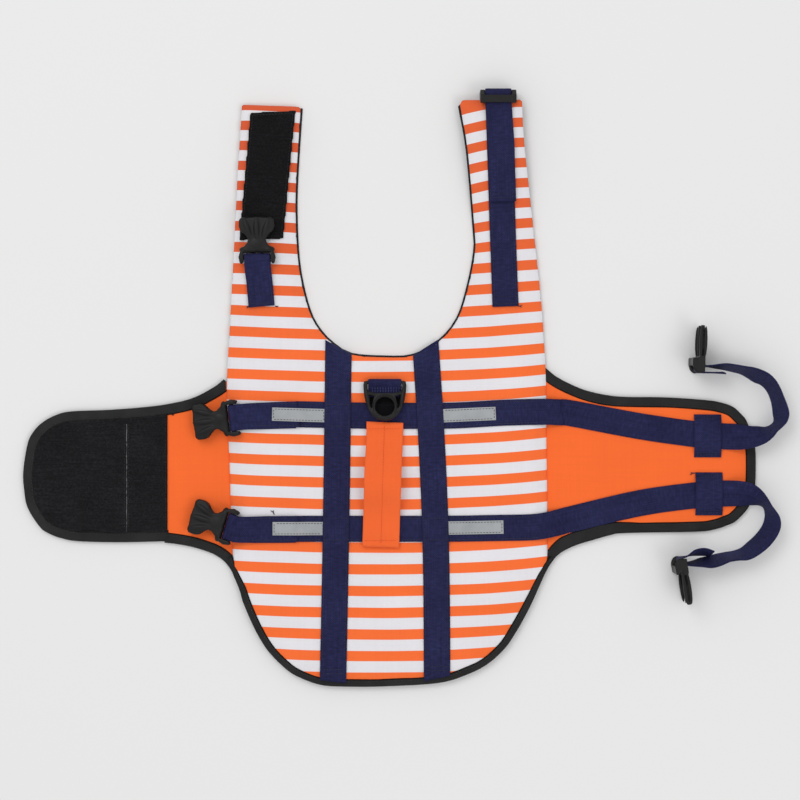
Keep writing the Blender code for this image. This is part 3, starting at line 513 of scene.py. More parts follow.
RIGHT_WING_LINE = (
    (138, 20.5), (142, 17), (149, 11.5), (162, 4.5), (178, -2), (198, -6.5), (217, -8.3), (256, -8.8), (295, -11.4),
    (311, -14), (322, -18), (330, -25), (336, -33), (343.5, -56), (344.5, -75), (343.5, -99), (338.5, -115),
    (326, -129.5), (316, -134.6), (303, -138.7), (285, -140.7), (217, -142), (202, -144), (186, -148.5),
    (168, -154), (154.5, -160.5), (147, -167), (141.8, -174.5), (137.2, -183), (133.5, -190.5),
)
# Line, side of the line that the cloth is on, floor of the cloth, x where it is cut, and how far the tape reaches
# in at distances from its end
BINDINGS = {
    "binding_left_wing": (LEFT_WING_LINE, 1, 1.2, -175.4, ((0, 10.0),)),
    "binding_left_rear": (LEFT_REAR_LINE, 1, 1.2, -163.0, ((6, 5.0), (24, 9.2))),
    "binding_tail": (TAIL_LINE, 1, 1.3, None, ((0, 4.4), (45, 7.0))),
    "binding_right_wing": (RIGHT_WING_LINE, -1, 1.2, 133.4, ((24, 9.0), (40, 12.6), (78, 12.0), (115, 9.2))),
}
TAPE_WALL = 0.9
TAPE_RIBS = 1250
# Height of the cloth's top inside the tape on the wings, and the least it may be at the tail
WING_TOP = 3.4
TAIL_TOP = 5.3


def face_outwards(mesh):
    """Turns a closed mesh's faces outwards."""
    bm = bmesh.new()
    bm.from_mesh(mesh)
    bmesh.ops.recalc_face_normals(bm, faces=bm.faces)
    bm.to_mesh(mesh)
    bm.free()


def skin(name, rings, along, round_it):
    """A closed skin over rings of points in millimetres, mapped in metres along it and round it."""
    count = len(rings[0])
    verts = [Vector(p) * MM for ring in rings for p in ring]
    faces, maps = [], []
    for i in range(len(rings) - 1):
        for j in range(count):
            k = (j + 1) % count
            faces.append((i * count + j, i * count + k, (i + 1) * count + k, (i + 1) * count + j))
            near, far = along[i] * MM, along[i + 1] * MM
            left, right = round_it[j] * MM, round_it[j + 1] * MM
            maps += [(near, left), (near, right), (far, right), (far, left)]
    for i in (0, len(rings) - 1):
        faces.append(tuple(i * count + j for j in range(count)))
        maps += [(along[i] * MM, round_it[j] * MM) for j in range(count)]
    mesh = bpy.data.meshes.new(name)
    mesh.from_pydata(verts, [], faces)
    layer = mesh.uv_layers.new(name="weave")
    layer.data.foreach_set("uv", [n for pair in maps for n in pair])
    face_outwards(mesh)
    obj = linked(name, mesh)
    shade_smooth(obj)
    return obj


def lengths(points):
    """Distance along a run to each of its points."""
    gone = [0.0]
    for a, b in zip(points, points[1:]):
        gone.append(gone[-1] + (Vector(b[:3]) - Vector(a[:3])).length)
    return gone


def tape_section(reach, floor, top_at, swell):
    """Corners of the folded tape: how far in from its outer line, and height, from the under edge to the top edge."""
    rise = top_at + 0.25
    return (
        (reach, 0.05), (reach * 0.5, 0.0), (1.6, 0.05), (0.5, 0.5), (0.05, 1.4), (0.0, 2.4), (0.25, rise + 0.3),
        (1.1, rise + 0.8), (reach * 0.35, rise + TAPE_WALL + 0.12 + swell), (reach * 0.7, rise + TAPE_WALL + swell),
        (reach - 0.5, rise + TAPE_WALL - 0.06), (reach, rise + TAPE_WALL - 0.3), (reach, rise + 0.1),
        (reach * 0.5, rise + 0.12), (TAPE_WALL + 0.1, rise - 0.05), (TAPE_WALL, floor - 0.2),
        (reach - 0.1, floor - 0.3),
    )


# Which corner of the section is the tape's inner edge, on top
INNER_EDGE = 11

rib_tape, tree, shader = finish_of("binding_tape", 0.7, Sheen_Weight=0.05, Sheen_Roughness=0.4, Specular_IOR_Level=0.12)
mapped = new_node(tree, "UVMap", uv_map="weave").outputs[0]
u = new_node(tree, "SeparateXYZ", {0: mapped}).outputs[0]
ribs = calc(tree, "ABSOLUTE", calc(tree, "SINE", calc(tree, "MULTIPLY", u, math.pi * TAPE_RIBS)))
worn = use_group(tree, handling, {"Vector": new_node(tree, "TexCoord").outputs["Object"], "Size": 40.0})
tone = ranged(tree, worn["Patches"], 0.3, 0.7, 0.8, 1.25)
# Painted shade: lighter on the rib tops, darker in the hollows between ribs
tone = calc(tree, "MULTIPLY", tone, ranged(tree, ribs, 0.0, 1.0, 0.75, 1.1))
tinted(tree, shader, linear("282828"), tone)
bumped(tree, shader, ribs, 0.45, 0.0003)

# A near-black strip along the tape's inner edge: painted shade in the step where the tape meets the cloth
painted_edge_shade, tree, shader = finish_of("binding_edge_shade", 0.95, Specular_IOR_Level=0.02)
where = new_node(tree, "TexCoord").outputs["Object"]
uneven = noisy(tree, where, 180.0, 2.0)
uneven = ranged(tree, uneven, 0.3, 0.7, 0.5, 1.7)
tinted(tree, shader, linear("100F10"), uneven)

tail_cloth = tree_of_solids("back_panel", "wing_right")
inner_lines = {}
for solid, (line, side, floor, cut_x, reaches) in BINDINGS.items():
    at_tail = solid == "binding_tail"
    run = even_run(line, 3.0)
    gone = lengths(run)
    rings = []
    inner_lines[solid] = []
    shade_line = []
    for i, point in enumerate(run):
        ahead = run[min(i + 1, len(run) - 1)] - run[max(i - 1, 0)]
        inward = Vector((-ahead.y, ahead.x)).normalized() * side
        from_end = min(gone[i], gone[-1] - gone[i]) if at_tail else gone[-1] - gone[i]
        reach = float(np.interp(from_end, *zip(*reaches)))
        top = WING_TOP
        if at_tail:
            spot = point + inward * reach
            hit = tail_cloth.ray_cast(Vector((spot.x, spot.y, 50)) * MM, Vector((0, 0, -1)))[0]
            top = max(TAIL_TOP, hit.z / MM - 0.9) if hit else TAIL_TOP
        swell = 0.22 * noise.noise(Vector((i * 0.35, 0, line[0][0])))
        wobble = 0.35 * noise.noise(Vector((i * 0.12, 5, line[0][0])))
        ring = []
        for inset, z in tape_section(reach + wobble, floor, top, swell):
            slope = 0.0
            if at_tail and z > 4:
                slope = 0.30 * max(0.0, inset - 1.0) - 0.9
            spot = point + inward * inset
            ring.append((spot.x, spot.y, z + slope))
        if cut_x is None or abs(point.x) >= abs(cut_x) - 2:
            rings.append(ring)
            x, y, z = ring[INNER_EDGE]
            inner = (x + inward.x * 0.75, y + inward.y * 0.75)
            outer = (x - inward.x * 0.1, y - inward.y * 0.1)
            shade_line.append([(*outer, z - 1.2), (*inner, z - 1.2), (*inner, z - 0.25), (*outer, z + 0.12)])
        spot = point + inward * (reach - 1.6)
        inner_lines[solid].append((spot.x, spot.y))
    around = lengths([(0, *corner) for corner in tape_section(reach, floor, WING_TOP, 0)])
    tape = skin(solid + "_tape", rings, lengths([r[0] for r in rings]), around + [around[-1] + reach])
    if cut_x is not None:
        bm = bmesh.new()
        bm.from_mesh(tape.data)
        everything = bm.verts[:] + bm.edges[:] + bm.faces[:]
        away = (math.copysign(1, cut_x), 0, 0)
        bmesh.ops.bisect_plane(bm, geom=everything, plane_co=(cut_x * MM, 0, 0), plane_no=away, clear_inner=True)
        bmesh.ops.holes_fill(bm, edges=[e for e in bm.edges if e.is_boundary])
        bm.to_mesh(tape.data)
        bm.free()
    tape.data.materials.append(rib_tape)
    # The dark strip along the inner edge is painted shade, not a part of the jacket
    edge_shade_strip = skin(solid + "_edge_shade", shade_line, lengths([r[0] for r in shade_line]), (0, 0.8, 1.8, 2.6, 3.4))
    edge_shade_strip.data.materials.append(painted_edge_shade)
    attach(edge_shade_strip, "root")
    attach(tape, "root")
    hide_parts(solid)

# ---------------------------------------------------------------------------------------------
# Hook-and-loop fastening. Black napped fabric sewn down in a wide and a narrow strip on the left
# wing's tip, and in one long strip on the left neck arm.
# ---------------------------------------------------------------------------------------------
# The fabric spreads a little past its solids, and the two strips on the wing close up where they meet
NAP_SPREAD = 1.008
STRIPS_MEET = 0.7 * MM
# y past which the arm's strip turns down over the cushion's edge, and height of its under face there
PANEL_TURN = (258, 9.8)
# How far a turn takes to be complete, and the height where the cushion's edge ends
TURN_RUN = 6
EDGE_FOOT = 2.6

loops, tree, shader = finish_of("loop_fabric", 0.95, Sheen_Weight=0.04, Sheen_Roughness=0.6, Specular_IOR_Level=0.04)
where = new_node(tree, "TexCoord").outputs["Object"]
streaked = new_node(tree, "Mapping", {0: where, 3: (60.0, 900.0, 60.0)}).outputs[0]
streaks = noisy(tree, streaked, 1.0, 2.0)
fuzz = noisy(tree, where, 1600.0, 3.0, 0.7)
clumps = new_node(tree, "TexVoronoi", {0: where, 2: 620.0}, feature="SMOOTH_F1").outputs["Distance"]
nap = calc(tree, "ADD", calc(tree, "MULTIPLY", fuzz, 0.6), calc(tree, "MULTIPLY", clumps, 0.7))
pressed = use_group(tree, handling, {"Vector": where, "Size": 22.0})["Patches"]
tone = ranged(tree, nap, 0.3, 0.9, 0.55, 1.5)
tone = calc(tree, "MULTIPLY", tone, ranged(tree, streaks, 0.3, 0.7, 0.75, 1.2))
tone = calc(tree, "MULTIPLY", tone, ranged(tree, pressed, 0.3, 0.7, 0.85, 1.2))
# Painted shade: the strip up on the neck arm, past y 0.1 to 0.14, is darkened
across = new_node(tree, "SeparateXYZ", {0: where}).outputs[1]
tone = calc(tree, "MULTIPLY", tone, ranged(tree, across, 0.1, 0.14, 1.0, 0.66))
tinted(tree, shader, linear("1C1B1D"), tone)
bumped(tree, shader, nap, 0.8, 0.0006)


cushion_tree = search_tree([back])


def turned_down(piece, from_y, level):
    """Lets the end of a flat piece, past a y, follow the cushion down over its rounded edge."""
    points = places(piece)
    for i, (x, y, z) in enumerate(points):
        share = min(1.0, max(0.0, (y / MM - from_y) / TURN_RUN))
        if share > 0:
            hit = cushion_tree.ray_cast(Vector((x, y, 0.05)), Vector((0, 0, -1)))[0]
            points[i, 2] -= share * max(0.0, level * MM - (hit.z if hit else EDGE_FOOT * MM))
    set_places(piece, points)


for solid in ("loop_panel_wide", "loop_panel_narrow", "neck_loop_panel"):
    panel = copied(solid + "_fabric", solid)
    apply(panel, "REMESH", mode="VOXEL", voxel_size=1.2 * MM)
    apply(panel, "SMOOTH", factor=0.5, iterations=2)
    points = places(panel)
    for i, (x, y, z) in enumerate(points):
        fine, broad = noise.noise(Vector((x, y, z)) * 240), noise.noise(Vector((x, y, 1)) * 60)
        points[i, 2] += 0.16 * MM * fine + 0.1 * MM * broad
    if solid == "loop_panel_wide":
        points[:, 0] += np.where(points[:, 0] > -0.275, STRIPS_MEET, 0)
    elif solid == "loop_panel_narrow":
        points[:, 0] -= np.where(points[:, 0] < -0.270, STRIPS_MEET, 0)
    middle = points.mean(axis=0)
    points[:, :2] = middle[:2] + (points[:, :2] - middle[:2]) * NAP_SPREAD
    set_places(panel, points)
    if solid == "neck_loop_panel":
        turned_down(panel, *PANEL_TURN)
    shade_smooth(panel)
    panel.data.materials.append(loops)
    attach(panel, "root")
    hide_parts(solid)
    low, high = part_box(solid)

# Pale woven edge of the narrow strip, where it meets the wide one
woven_edge, tree, shader = finish_of("loop_edge", 0.8, Specular_IOR_Level=0.1)
where = new_node(tree, "TexCoord").outputs["Object"]
broken = noisy(tree, where, 260.0, 2.0)
broken = ranged(tree, broken, 0.4, 0.6, 0.35, 1.2)
tinted(tree, shader, linear("5E5E60"), broken)
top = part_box("loop_panel_wide")[1][2] / MM
EDGE_X = -272.5
EDGE_FROM_Y = -35
EDGE_STEP = 2
EDGE_ROWS = 54
rings = []
for k in range(EDGE_ROWS):
    x, y = EDGE_X + 0.12 * math.sin(k * 0.7), EDGE_FROM_Y - EDGE_STEP * k
    rings.append([(x - 0.5, y, top - 0.9), (x + 0.5, y, top - 0.9), (x + 0.4, y, top + 0.12), (x - 0.4, y, top + 0.12)])
pale_edge = skin("loop_edge", rings, [EDGE_STEP * k for k in range(EDGE_ROWS)], (0, 1, 2, 3, 4))
pale_edge.data.materials.append(woven_edge)
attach(pale_edge, "root")

# ---------------------------------------------------------------------------------------------
# Webbing. Heavy navy polypropylene, 25 mm wide. The belts are doubled back at their buckles and
# sewn across the back, the spine straps are sewn over them, and short bands keep the belts in
# place on the right wing. The neck straps are sewn flat along the arms.
# ---------------------------------------------------------------------------------------------
WEB_WIDTH = 25.5
SPINE_WIDTH = 25.9
KEEPER_WIDTH = 26.7
WEB = 1.5
# Heights of its lower face on the back, on the wings and over their tape, and of its lower edge where it stands
ON_PAD = 10.6
ON_WING = 3.7
OVER_TAPE = 4.9
TABLE = 0.4
IN_BUCKLE = 5.35
# Rise from one layer to the next, and from a bar's middle to the webbing's middle
SECOND_LAYER = 1.8
BAR_TURN = 3.0
# The weave: from one warp cord to the next, and from pick to pick
CORD_PITCH = 1.15 * MM
PICK_PITCH = 2.2 * MM
# How far in from a slanted end the slant dies away
SLANT_RUN = 18

# Bars of the female buckles: x, y, height, way of the mouth in degrees, tilt
FEMALES = {
    "buckle_female_upper": (-167.8, -29.0, 15.6, 187.0, 8.0),
    "buckle_female_lower": (-171.5, -135.0, 15.0, 163.0, 8.0),
    "buckle_female_neck": (-143.8, 127.8, 17.4, 91.0, 0.0),
}
# Upright bars of the two belts' male buckles: x, y
MALES = {"buckle_male_upper": (286.5, 18.6), "buckle_male_lower": (269.2, -168.1)}
# Belts: x, y of the centre line, height of the lower face or edge, lean in degrees
UPPER_BELT = (
    (-98, -25.5, ON_PAD, 0), (-29, -26.8, ON_PAD, 0), (44, -26.6, ON_PAD, 0), (93, -24, ON_PAD, 0),
    (118, -23.2, ON_PAD, 0), (130, -23, ON_PAD, 0), (141, -23, 8.0, 0), (152, -23.6, 5.0, 0),
    (164, -24.6, ON_WING, 0), (230, -37, ON_WING, 0), (283, -44.7, ON_WING, 0), (312, -47, ON_WING, 0),
    (322, -47.4, OVER_TAPE, 3), (328.6, -47.6, OVER_TAPE, 14), (336.4, -47.4, OVER_TAPE, 31),
    (343.3, -46.5, 4.4, 41), (349.2, -45.1, 2.2, 50), (355.1, -42.7, TABLE, 64), (360, -39.2, TABLE, 75),
    (364.4, -35.3, TABLE, 75), (367, -30.5, TABLE, 67), (367.6, -24.6, TABLE, 61), (366.3, -17.7, TABLE, 64),
    (363.9, -9.9, TABLE, 68), (360.9, -2.5, TABLE, 68), (357, 3.8, TABLE, 66), (351.6, 8.9, TABLE, 63),
    (345.2, 11.9, TABLE, 61), (338.4, 15.1, TABLE, 66), (330.6, 17.7, TABLE, 73), (321.7, 19.6, 0.6, 75),
    (312.9, 21.1, 1.4, 77), (304.1, 21.4, 3.2, 82), (297.2, 21.6, 4.9, 88),
)
LOWER_BELT = (
    (-98, -137.3, ON_PAD, 0), (-29, -137.3, ON_PAD, 0), (44, -137.2, ON_PAD, 0), (93, -136.4, ON_PAD, 0),
    (118, -136, ON_PAD, 0), (130, -135.2, ON_PAD, 0), (141, -133.5, 8.0, 0), (152, -131, 5.0, 0),
    (164, -128, ON_WING, 0), (230, -112.6, ON_WING, 0), (284, -105, ON_WING, 0), (312, -103.2, ON_WING, 0),
    (320, -102.9, OVER_TAPE, -4), (328.6, -103, OVER_TAPE, -15), (336.4, -104.1, OVER_TAPE, -28),
    (343.8, -107.2, 4.2, -50), (349.7, -110.8, 1.5, -68), (354.1, -115.2, TABLE, -78), (357, -120.6, TABLE, -73),
    (359, -127, TABLE, -63), (358.8, -133.9, TABLE, -57), (355.5, -141.2, TABLE, -56), (349.2, -149.1, TABLE, -56),
    (341.3, -155.9, TABLE, -58), (333, -161.3, TABLE, -64), (323.7, -163.3, TABLE, -72), (314.9, -164.8, 0.6, -72),
    (306.1, -167.5, 1.2, -67), (298.2, -169.4, 2.2, -67), (289.4, -169.9, 3.6, -74), (280.0, -171.0, 4.9, -84),
)
# Across a piece of webbing: place from edge to edge, and share of the full thickness there
WEB_SECTION = (
    (-0.5, 0.2), (-0.49, 0.6), (-0.465, 0.88), (-0.4, 1.0), (-0.2, 0.97), (0, 1.0), (0.2, 0.97), (0.4, 1.0),
    (0.465, 0.88), (0.49, 0.6), (0.5, 0.2),
)

webbing, tree, shader = finish_of("webbing", 0.6, Sheen_Weight=0.08, Sheen_Roughness=0.35, Specular_IOR_Level=0.1)
shader["Sheen Tint"].default_value = linear("8A8CD8")
mapped = new_node(tree, "UVMap", uv_map="weave").outputs[0]
u, v, _ = new_node(tree, "SeparateXYZ", {0: mapped}).outputs
column = calc(tree, "MULTIPLY", v, 1 / CORD_PITCH)
stagger = calc(tree, "MULTIPLY", calc(tree, "MODULO", calc(tree, "FLOOR", column), 2.0), 0.5)
pick = calc(tree, "MULTIPLY_ADD", u, 1 / PICK_PITCH, stagger)
cord = calc(tree, "ABSOLUTE", calc(tree, "SINE", calc(tree, "MULTIPLY", column, math.pi)))
knuckle = calc(tree, "ABSOLUTE", calc(tree, "SINE", calc(tree, "MULTIPLY", pick, math.pi)))
raised = calc(tree, "MULTIPLY", calc(tree, "POWER", cord, 0.6), calc(tree, "MULTIPLY_ADD", knuckle, 0.6, 0.4))
drawn = new_node(tree, "Mapping", {0: mapped, 3: (18.0, 950.0, 1.0)}).outputs[0]
streaks = noisy(tree, drawn, 1.0, 2.0)
crossing = new_node(tree, "Mapping", {0: mapped, 3: (480.0, 150.0, 1.0)}).outputs[0]
picks = noisy(tree, crossing, 1.0, 2.0)
worn = use_group(tree, handling, {"Vector": new_node(tree, "TexCoord").outputs["Object"], "Size": 30.0})
# Painted shade and highlight: lighter on the raised cords, darker in the hollows between them
tone = ranged(tree, raised, 0.0, 0.9, 0.5, 1.18)
tone = calc(tree, "MULTIPLY", tone, ranged(tree, streaks, 0.3, 0.7, 0.84, 1.2))
tone = calc(tree, "MULTIPLY", tone, ranged(tree, picks, 0.3, 0.7, 0.78, 1.26))
faded = ranged(tree, worn["Patches"], 0.35, 0.7, 0.0, 1.0)
navy = blend_colour(tree, faded, linear("212246"), linear("27294F"))
tinted(tree, shader, navy, tone)
bumped(tree, shader, raised, 0.7, 0.0005)

solid_trees = {}


def height_on(solid, x, y, top=True):
    """Height of a CAD solid's upper or lower face at a place, in millimetres."""
    if solid not in solid_trees:
        solid_trees[solid] = tree_of_solids(solid)
    start, way = (100, -1) if top else (-10, 1)
    hit = solid_trees[solid].ray_cast(Vector((x, y, start)) * MM, Vector((0, 0, way)))[0]
    return hit.z / MM if hit else None


def strip(name, rows, width, thick, step=2.0, section=WEB_SECTION, skew=(0, 0)):
    """A flat strip along rows of x, y, lower height and lean, and its length. skew slants its cut ends."""
    curve = smooth_run(rows, step)
    side = None
    frames = []
    for i, row in enumerate(curve):
        ahead = curve[min(i + 1, len(curve) - 1)] - curve[max(i - 1, 0)]
        level = Vector((-ahead.y, ahead.x, 0))
        if side is None or level.length > 0.3 * Vector(ahead[:3]).length:
            turned = level.normalized()
            side = turned if side is None or turned.dot(side) > 0 else -turned
        lean = math.radians(row[3])
        across = side * math.cos(lean) + Vector((0, 0, math.sin(lean)))
        rise = abs(math.sin(lean)) * width / 2 + math.cos(lean) * thick / 2
        frames.append((Vector((row[0], row[1], row[2] + rise)), across))
    centres = [centre for centre, _ in frames]
    gone = lengths(centres)
    rings = []
    for i, (centre, across) in enumerate(frames):
        forward = (centres[min(i + 1, len(centres) - 1)] - centres[max(i - 1, 0)]).normalized()
        normal = forward.cross(across)
        edge = 1 + 0.006 * noise.noise(Vector((gone[i] * 0.05, 0, len(rows))))
        slant = skew[0] * max(0.0, 1 - gone[i] / SLANT_RUN)
        slant += skew[1] * max(0.0, 1 - (gone[-1] - gone[i]) / SLANT_RUN)
        ring = []
        for half, order in ((0.5, section), (-0.5, tuple(reversed(section)))):
            for place, share in order:
                aside = place * width * edge
                ring.append(centre + across * aside + normal * half * thick * share + forward * slant * aside)
        rings.append(ring)
    first = [place * width for place, _ in section]
    round_it = first + [2 * width - p for p in reversed(first)] + [first[0]]
    return skin(name, rings, gone, round_it), gone[-1]


def sewn_strip(name, solid, rows, width, thick, material, slot, held, rests_on, **shape):
    """A strip that stands for its CAD solid, with its material on it, attached to the root, the solid hidden."""
    obj, length = strip(name, rows, width, thick, **shape)
    obj.data.materials.append(material)
    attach(obj, "root")
    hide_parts(solid)
    return obj


def bar_turn(bar, heading, turn, steps=10):
    """Rows of webbing that goes round a level bar from below."""
    forward = Vector((math.cos(math.radians(heading)), math.sin(math.radians(heading)), 0))
    rows = []
    for k in range(steps + 1):
        angle = math.pi * k / steps
        point = Vector(bar) + forward * turn * math.sin(angle)
        rows.append((point.x, point.y, point.z - turn * math.cos(angle) - WEB / 2, 0))
    return rows


def belt_rows(buckle, rows, ending):
    """A whole belt: its turned-under end, the turn round the buckle's bar, the back, and its other end."""
    x, y, z, heading, _ = FEMALES[buckle]
    end_x, start_y = -106.5, rows[0][1]
    near_x = x - 10 * math.cos(math.radians(heading))
    near_y = y - 10 * math.sin(math.radians(heading))
    far_y = start_y + (near_y - start_y) * 0.35
    under = [(end_x, start_y - 0.8, ON_PAD, 0), (end_x - 26, far_y - 0.8, ON_PAD, 0), (near_x, near_y, ON_PAD + 0.1, 0)]
    over = [
        (near_x, near_y, ON_PAD + SECOND_LAYER + 1.6, 0),
        (end_x - 26, far_y, ON_PAD + SECOND_LAYER + 0.1, 0),
        (end_x + 0.5, start_y, ON_PAD + SECOND_LAYER, 0),
    ]
    return under + bar_turn((x, y, z), heading, BAR_TURN) + over + list(rows) + ending


def upright_turn(bar, start, end, lean):
    """Rows of webbing standing on its edge, round an upright bar between two angles."""
    rows = []
    for k in range(11):
        angle = math.radians(start + (end - start) * k / 10)
        rows.append((bar[0] + BAR_TURN * math.cos(angle), bar[1] + BAR_TURN * math.sin(angle), IN_BUCKLE, lean))
    return rows


upper_end = upright_turn(MALES["buckle_male_upper"], 90, 270, 90)
upper_end += [(296, 15.3, IN_BUCKLE, 90), (311.5, 15.0, 4.2, 86)]
lower_end = upright_turn(MALES["buckle_male_lower"], 270, 90, -90)
lower_end += [(275, -163.4, IN_BUCKLE, -84), (283, -160.2, 5.0, -73)]
lower_end += [(291.5, -159.6, 4.0, -70), (300, -161.2, 3.0, -76)]
straps = []
for name, buckle, rows, ending in (
    ("belt_upper", "buckle_female_upper", UPPER_BELT, upper_end),
    ("belt_lower", "buckle_female_lower", LOWER_BELT, lower_end),
):
    rows = belt_rows(buckle, rows, ending)
    straps.append(
        sewn_strip(name + "_webbing", name, rows, WEB_WIDTH, WEB, webbing, "webbing", "laid", ["back_cushion", "table"])
    )

# Spine straps: top and foot of the centre line, how far it bows to the right, and how the ends are slanted
SPINES = {
    "spine_strap_left": ((-64.75, 40.6), (-70.0, -282.7), 0.5, (0.52, 0.1)),
    "spine_strap_right": ((20.5, 40.2), (31.6, -279.6), 3.3, (-0.54, -0.165)),
}
SPINE_ROWS = 80
# y past which their tops turn down over the cushion's edge, and height of their under face there
SPINE_TURN = (22, 9.3)


def spine_line(top, foot, bow, count=SPINE_ROWS):
    """The centre line of a spine strap, and a row past its foot."""
    rows = []
    for k in range(count + 2):
        x, y = (top[i] + (foot[i] - top[i]) * k / count for i in (0, 1))
        rows.append((x + bow * math.sin(math.pi * min(k / count, 1)), y))
    return rows


for name, (top, foot, bow, skew) in SPINES.items():
    rows = []
    for k, (x, y) in enumerate(spine_line(top, foot, bow)):
        inside_y = min(max(y, foot[1] + 1.5), top[1] - 4.8)
        foot_dip = 0.5 * max(0, k - SPINE_ROWS + 1)
        rows.append((x, y, height_on(name, x, inside_y, top=False) - foot_dip, 0))
    strap = sewn_strip(
        name + "_webbing", name, rows, SPINE_WIDTH, WEB, webbing, "webbing", "laid", ["back_cushion"], skew=skew
    )
    turned_down(strap, *SPINE_TURN)
    straps.append(strap)

bar = FEMALES["buckle_female_neck"]
rows = [(-139.8, 80, ON_PAD, 0), (-142, 105, ON_PAD, 0), (-143.4, 117, 11.5, 0)]
rows += bar_turn(bar[:3], bar[3], BAR_TURN)
rows += [(-143.4, 117, 15.4, 0), (-142, 105, 12.7, 0), (-140.8, 92, 12.4, 0), (-139.8, 80, 12.4, 0)]
left_neck = sewn_strip(
    "neck_strap_left_webbing", "neck_strap_left", rows, WEB_WIDTH, WEB, webbing, "webbing", "laid", ["back_cushion"]
)


def on_right_arm(y, layer, reach):
    """A row of the right neck strap, in its lower or upper layer."""
    x = 98.5 - 7.3 * (y - 80) / 201
    aside = 1.2 * layer * min(1.0, max(0.0, (275 - y) / 35))
    return (x + aside, y, height_on("back_panel", x, min(y, 280)) + 0.5 + layer * (SECOND_LAYER + reach), 0)


rows = [on_right_arm(y, 0, 0) for y in (80, 100, 120, 150, 180, 210, 240, 262, 270, 275, 279)]
rows += bar_turn((91.2, 288.6, 17.1), 90, BAR_TURN)
rows += [(91.2, 280, 19.4, 0)]
rows += [on_right_arm(y, 1, 0.3) for y in (262, 240, 225, 210, 196)]
rows += [on_right_arm(190, 1, 0.45), on_right_arm(182, 1, 0.6)]
right_neck = sewn_strip(
    "neck_strap_right_webbing", "neck_strap_right", rows, WEB_WIDTH, WEB, webbing, "webbing", "laid", ["back_cushion"]
)

# Keepers, across each belt: x and y of the middle
KEEPERS = {"keeper_upper": (297.0, -46.6), "keeper_lower": (298.3, -103.4)}
KEEPER_HALF = 21
for name, (x, y) in KEEPERS.items():
    rows = []
    for along in range(-KEEPER_HALF, KEEPER_HALF + 1):
        inside = min(max(along, 0.4 - KEEPER_HALF), KEEPER_HALF - 0.4)
        rows.append((x, y + along, height_on(name, x, y + inside, top=False), 0))
    straps.append(
        sewn_strip(
            name + "_webbing", name, rows, KEEPER_WIDTH, WEB, webbing, "webbing", "laid", ["wing_right_cloth"], step=1.0
        )
    )

# ---------------------------------------------------------------------------------------------
# Reflective strips. Grey glass-bead tape, cut short with slightly rounded corners and sewn down
# all round on each belt.
# ---------------------------------------------------------------------------------------------
# Ends of each strip's centre line. The inner ends run in under the spine straps
REFLECTIVE = {
    "reflective_upper_left": ((-129.5, -25.2), (-77.5, -26.7)),
    "reflective_upper_right": ((36.0, -26.9), (89, -24.5)),
    "reflective_lower_left": ((-129, -137), (-78.5, -137)),
    "reflective_lower_right": ((38.5, -136.6), (96.5, -135.5)),
}
REFLECTIVE_WIDTH = 13.1
REFLECTIVE_THICK = 0.5
# Just short of the solids' inner ends, left and right. Past here a strip keeps the height it has here
SOLIDS_END_LEFT = -85.2
SOLIDS_END_RIGHT = 46.4
REFLECTIVE_SECTION = (
    (-0.5, 0.3), (-0.485, 0.8), (-0.44, 1.0), (-0.39, 0.7), (-0.34, 1.0), (0, 1.1), (0.34, 1.0), (0.39, 0.7),
    (0.44, 1.0), (0.485, 0.8), (0.5, 0.3),
)
beads, tree, shader = finish_of("reflective_tape", 0.38, Specular_IOR_Level=0.6, Coat_Roughness=0.3)
where = new_node(tree, "TexCoord").outputs["Object"]
cells = new_node(tree, "TexVoronoi", {0: where, 2: 2600.0}, feature="F1").outputs["Distance"]
rubbed = use_group(tree, handling, {"Vector": where, "Size": 60.0})
tone = ranged(tree, rubbed["Patches"], 0.3, 0.7, 0.88, 1.06)
tone = calc(tree, "MULTIPLY", tone, ranged(tree, cells, 0.1, 0.7, 1.06, 0.85))
tinted(tree, shader, linear("A6A9AC"), tone)
shine = ranged(tree, rubbed["Patches"], 0.3, 0.7, 0.32, 0.5)
tree.links.new(shine, shader["Roughness"])
shader["Metallic"].default_value = 0.25
bumped(tree, shader, cells, 0.3, 0.0002)
reflectors = []
for name, (start, end) in REFLECTIVE.items():
    rows = []
    for k in range(24):
        x, y = (start[i] + (end[i] - start[i]) * k / 23 for i in (0, 1))
        if x < 0:
            inside_x = max(min(x, SOLIDS_END_LEFT), start[0] + 0.4)
        else:
            inside_x = min(max(x, SOLIDS_END_RIGHT), end[0] - 0.4)
        rows.append((x, y, height_on(name, inside_x, y, top=False), 0))
    reflectors.append(
        sewn_strip(
            name + "_tape", name, rows, REFLECTIVE_WIDTH, REFLECTIVE_THICK, beads, "reflective_tape", "laid",
            ["back_cushion"], step=1.0, section=REFLECTIVE_SECTION,
        )
    )

# ---------------------------------------------------------------------------------------------
# Lift handle. Orange cloth folded to the middle round a thin pad, its two folds meeting along
# the centre in a seam, sewn through at both ends and standing up between them.
# ---------------------------------------------------------------------------------------------
HANDLE_SECTION = (
    (-0.5, 0.25), (-0.49, 0.62), (-0.465, 0.88), (-0.42, 1.0), (-0.3, 1.05), (-0.14, 1.02), (-0.05, 0.96),
    (-0.022, 0.82), (0.0, 0.62), (0.022, 0.82), (0.05, 0.96), (0.14, 1.02), (0.3, 1.05), (0.42, 1.0),
    (0.465, 0.88), (0.49, 0.62), (0.5, 0.25),
)
# Its ends along the back, where its middle is at the top, and how far that moves to the left by its foot
HANDLE_TOP_Y = -33
HANDLE_RUN = 122
HANDLE_X = -19.3
HANDLE_DRIFT = 4.2
HANDLE_WIDTH = 36.0
HANDLE_THICK = 3.6
handle_cloth = cloth_finish("handle_cloth", lambda tree, where: linear("FB6E36"), 1400.0, 0.4, 0.95)


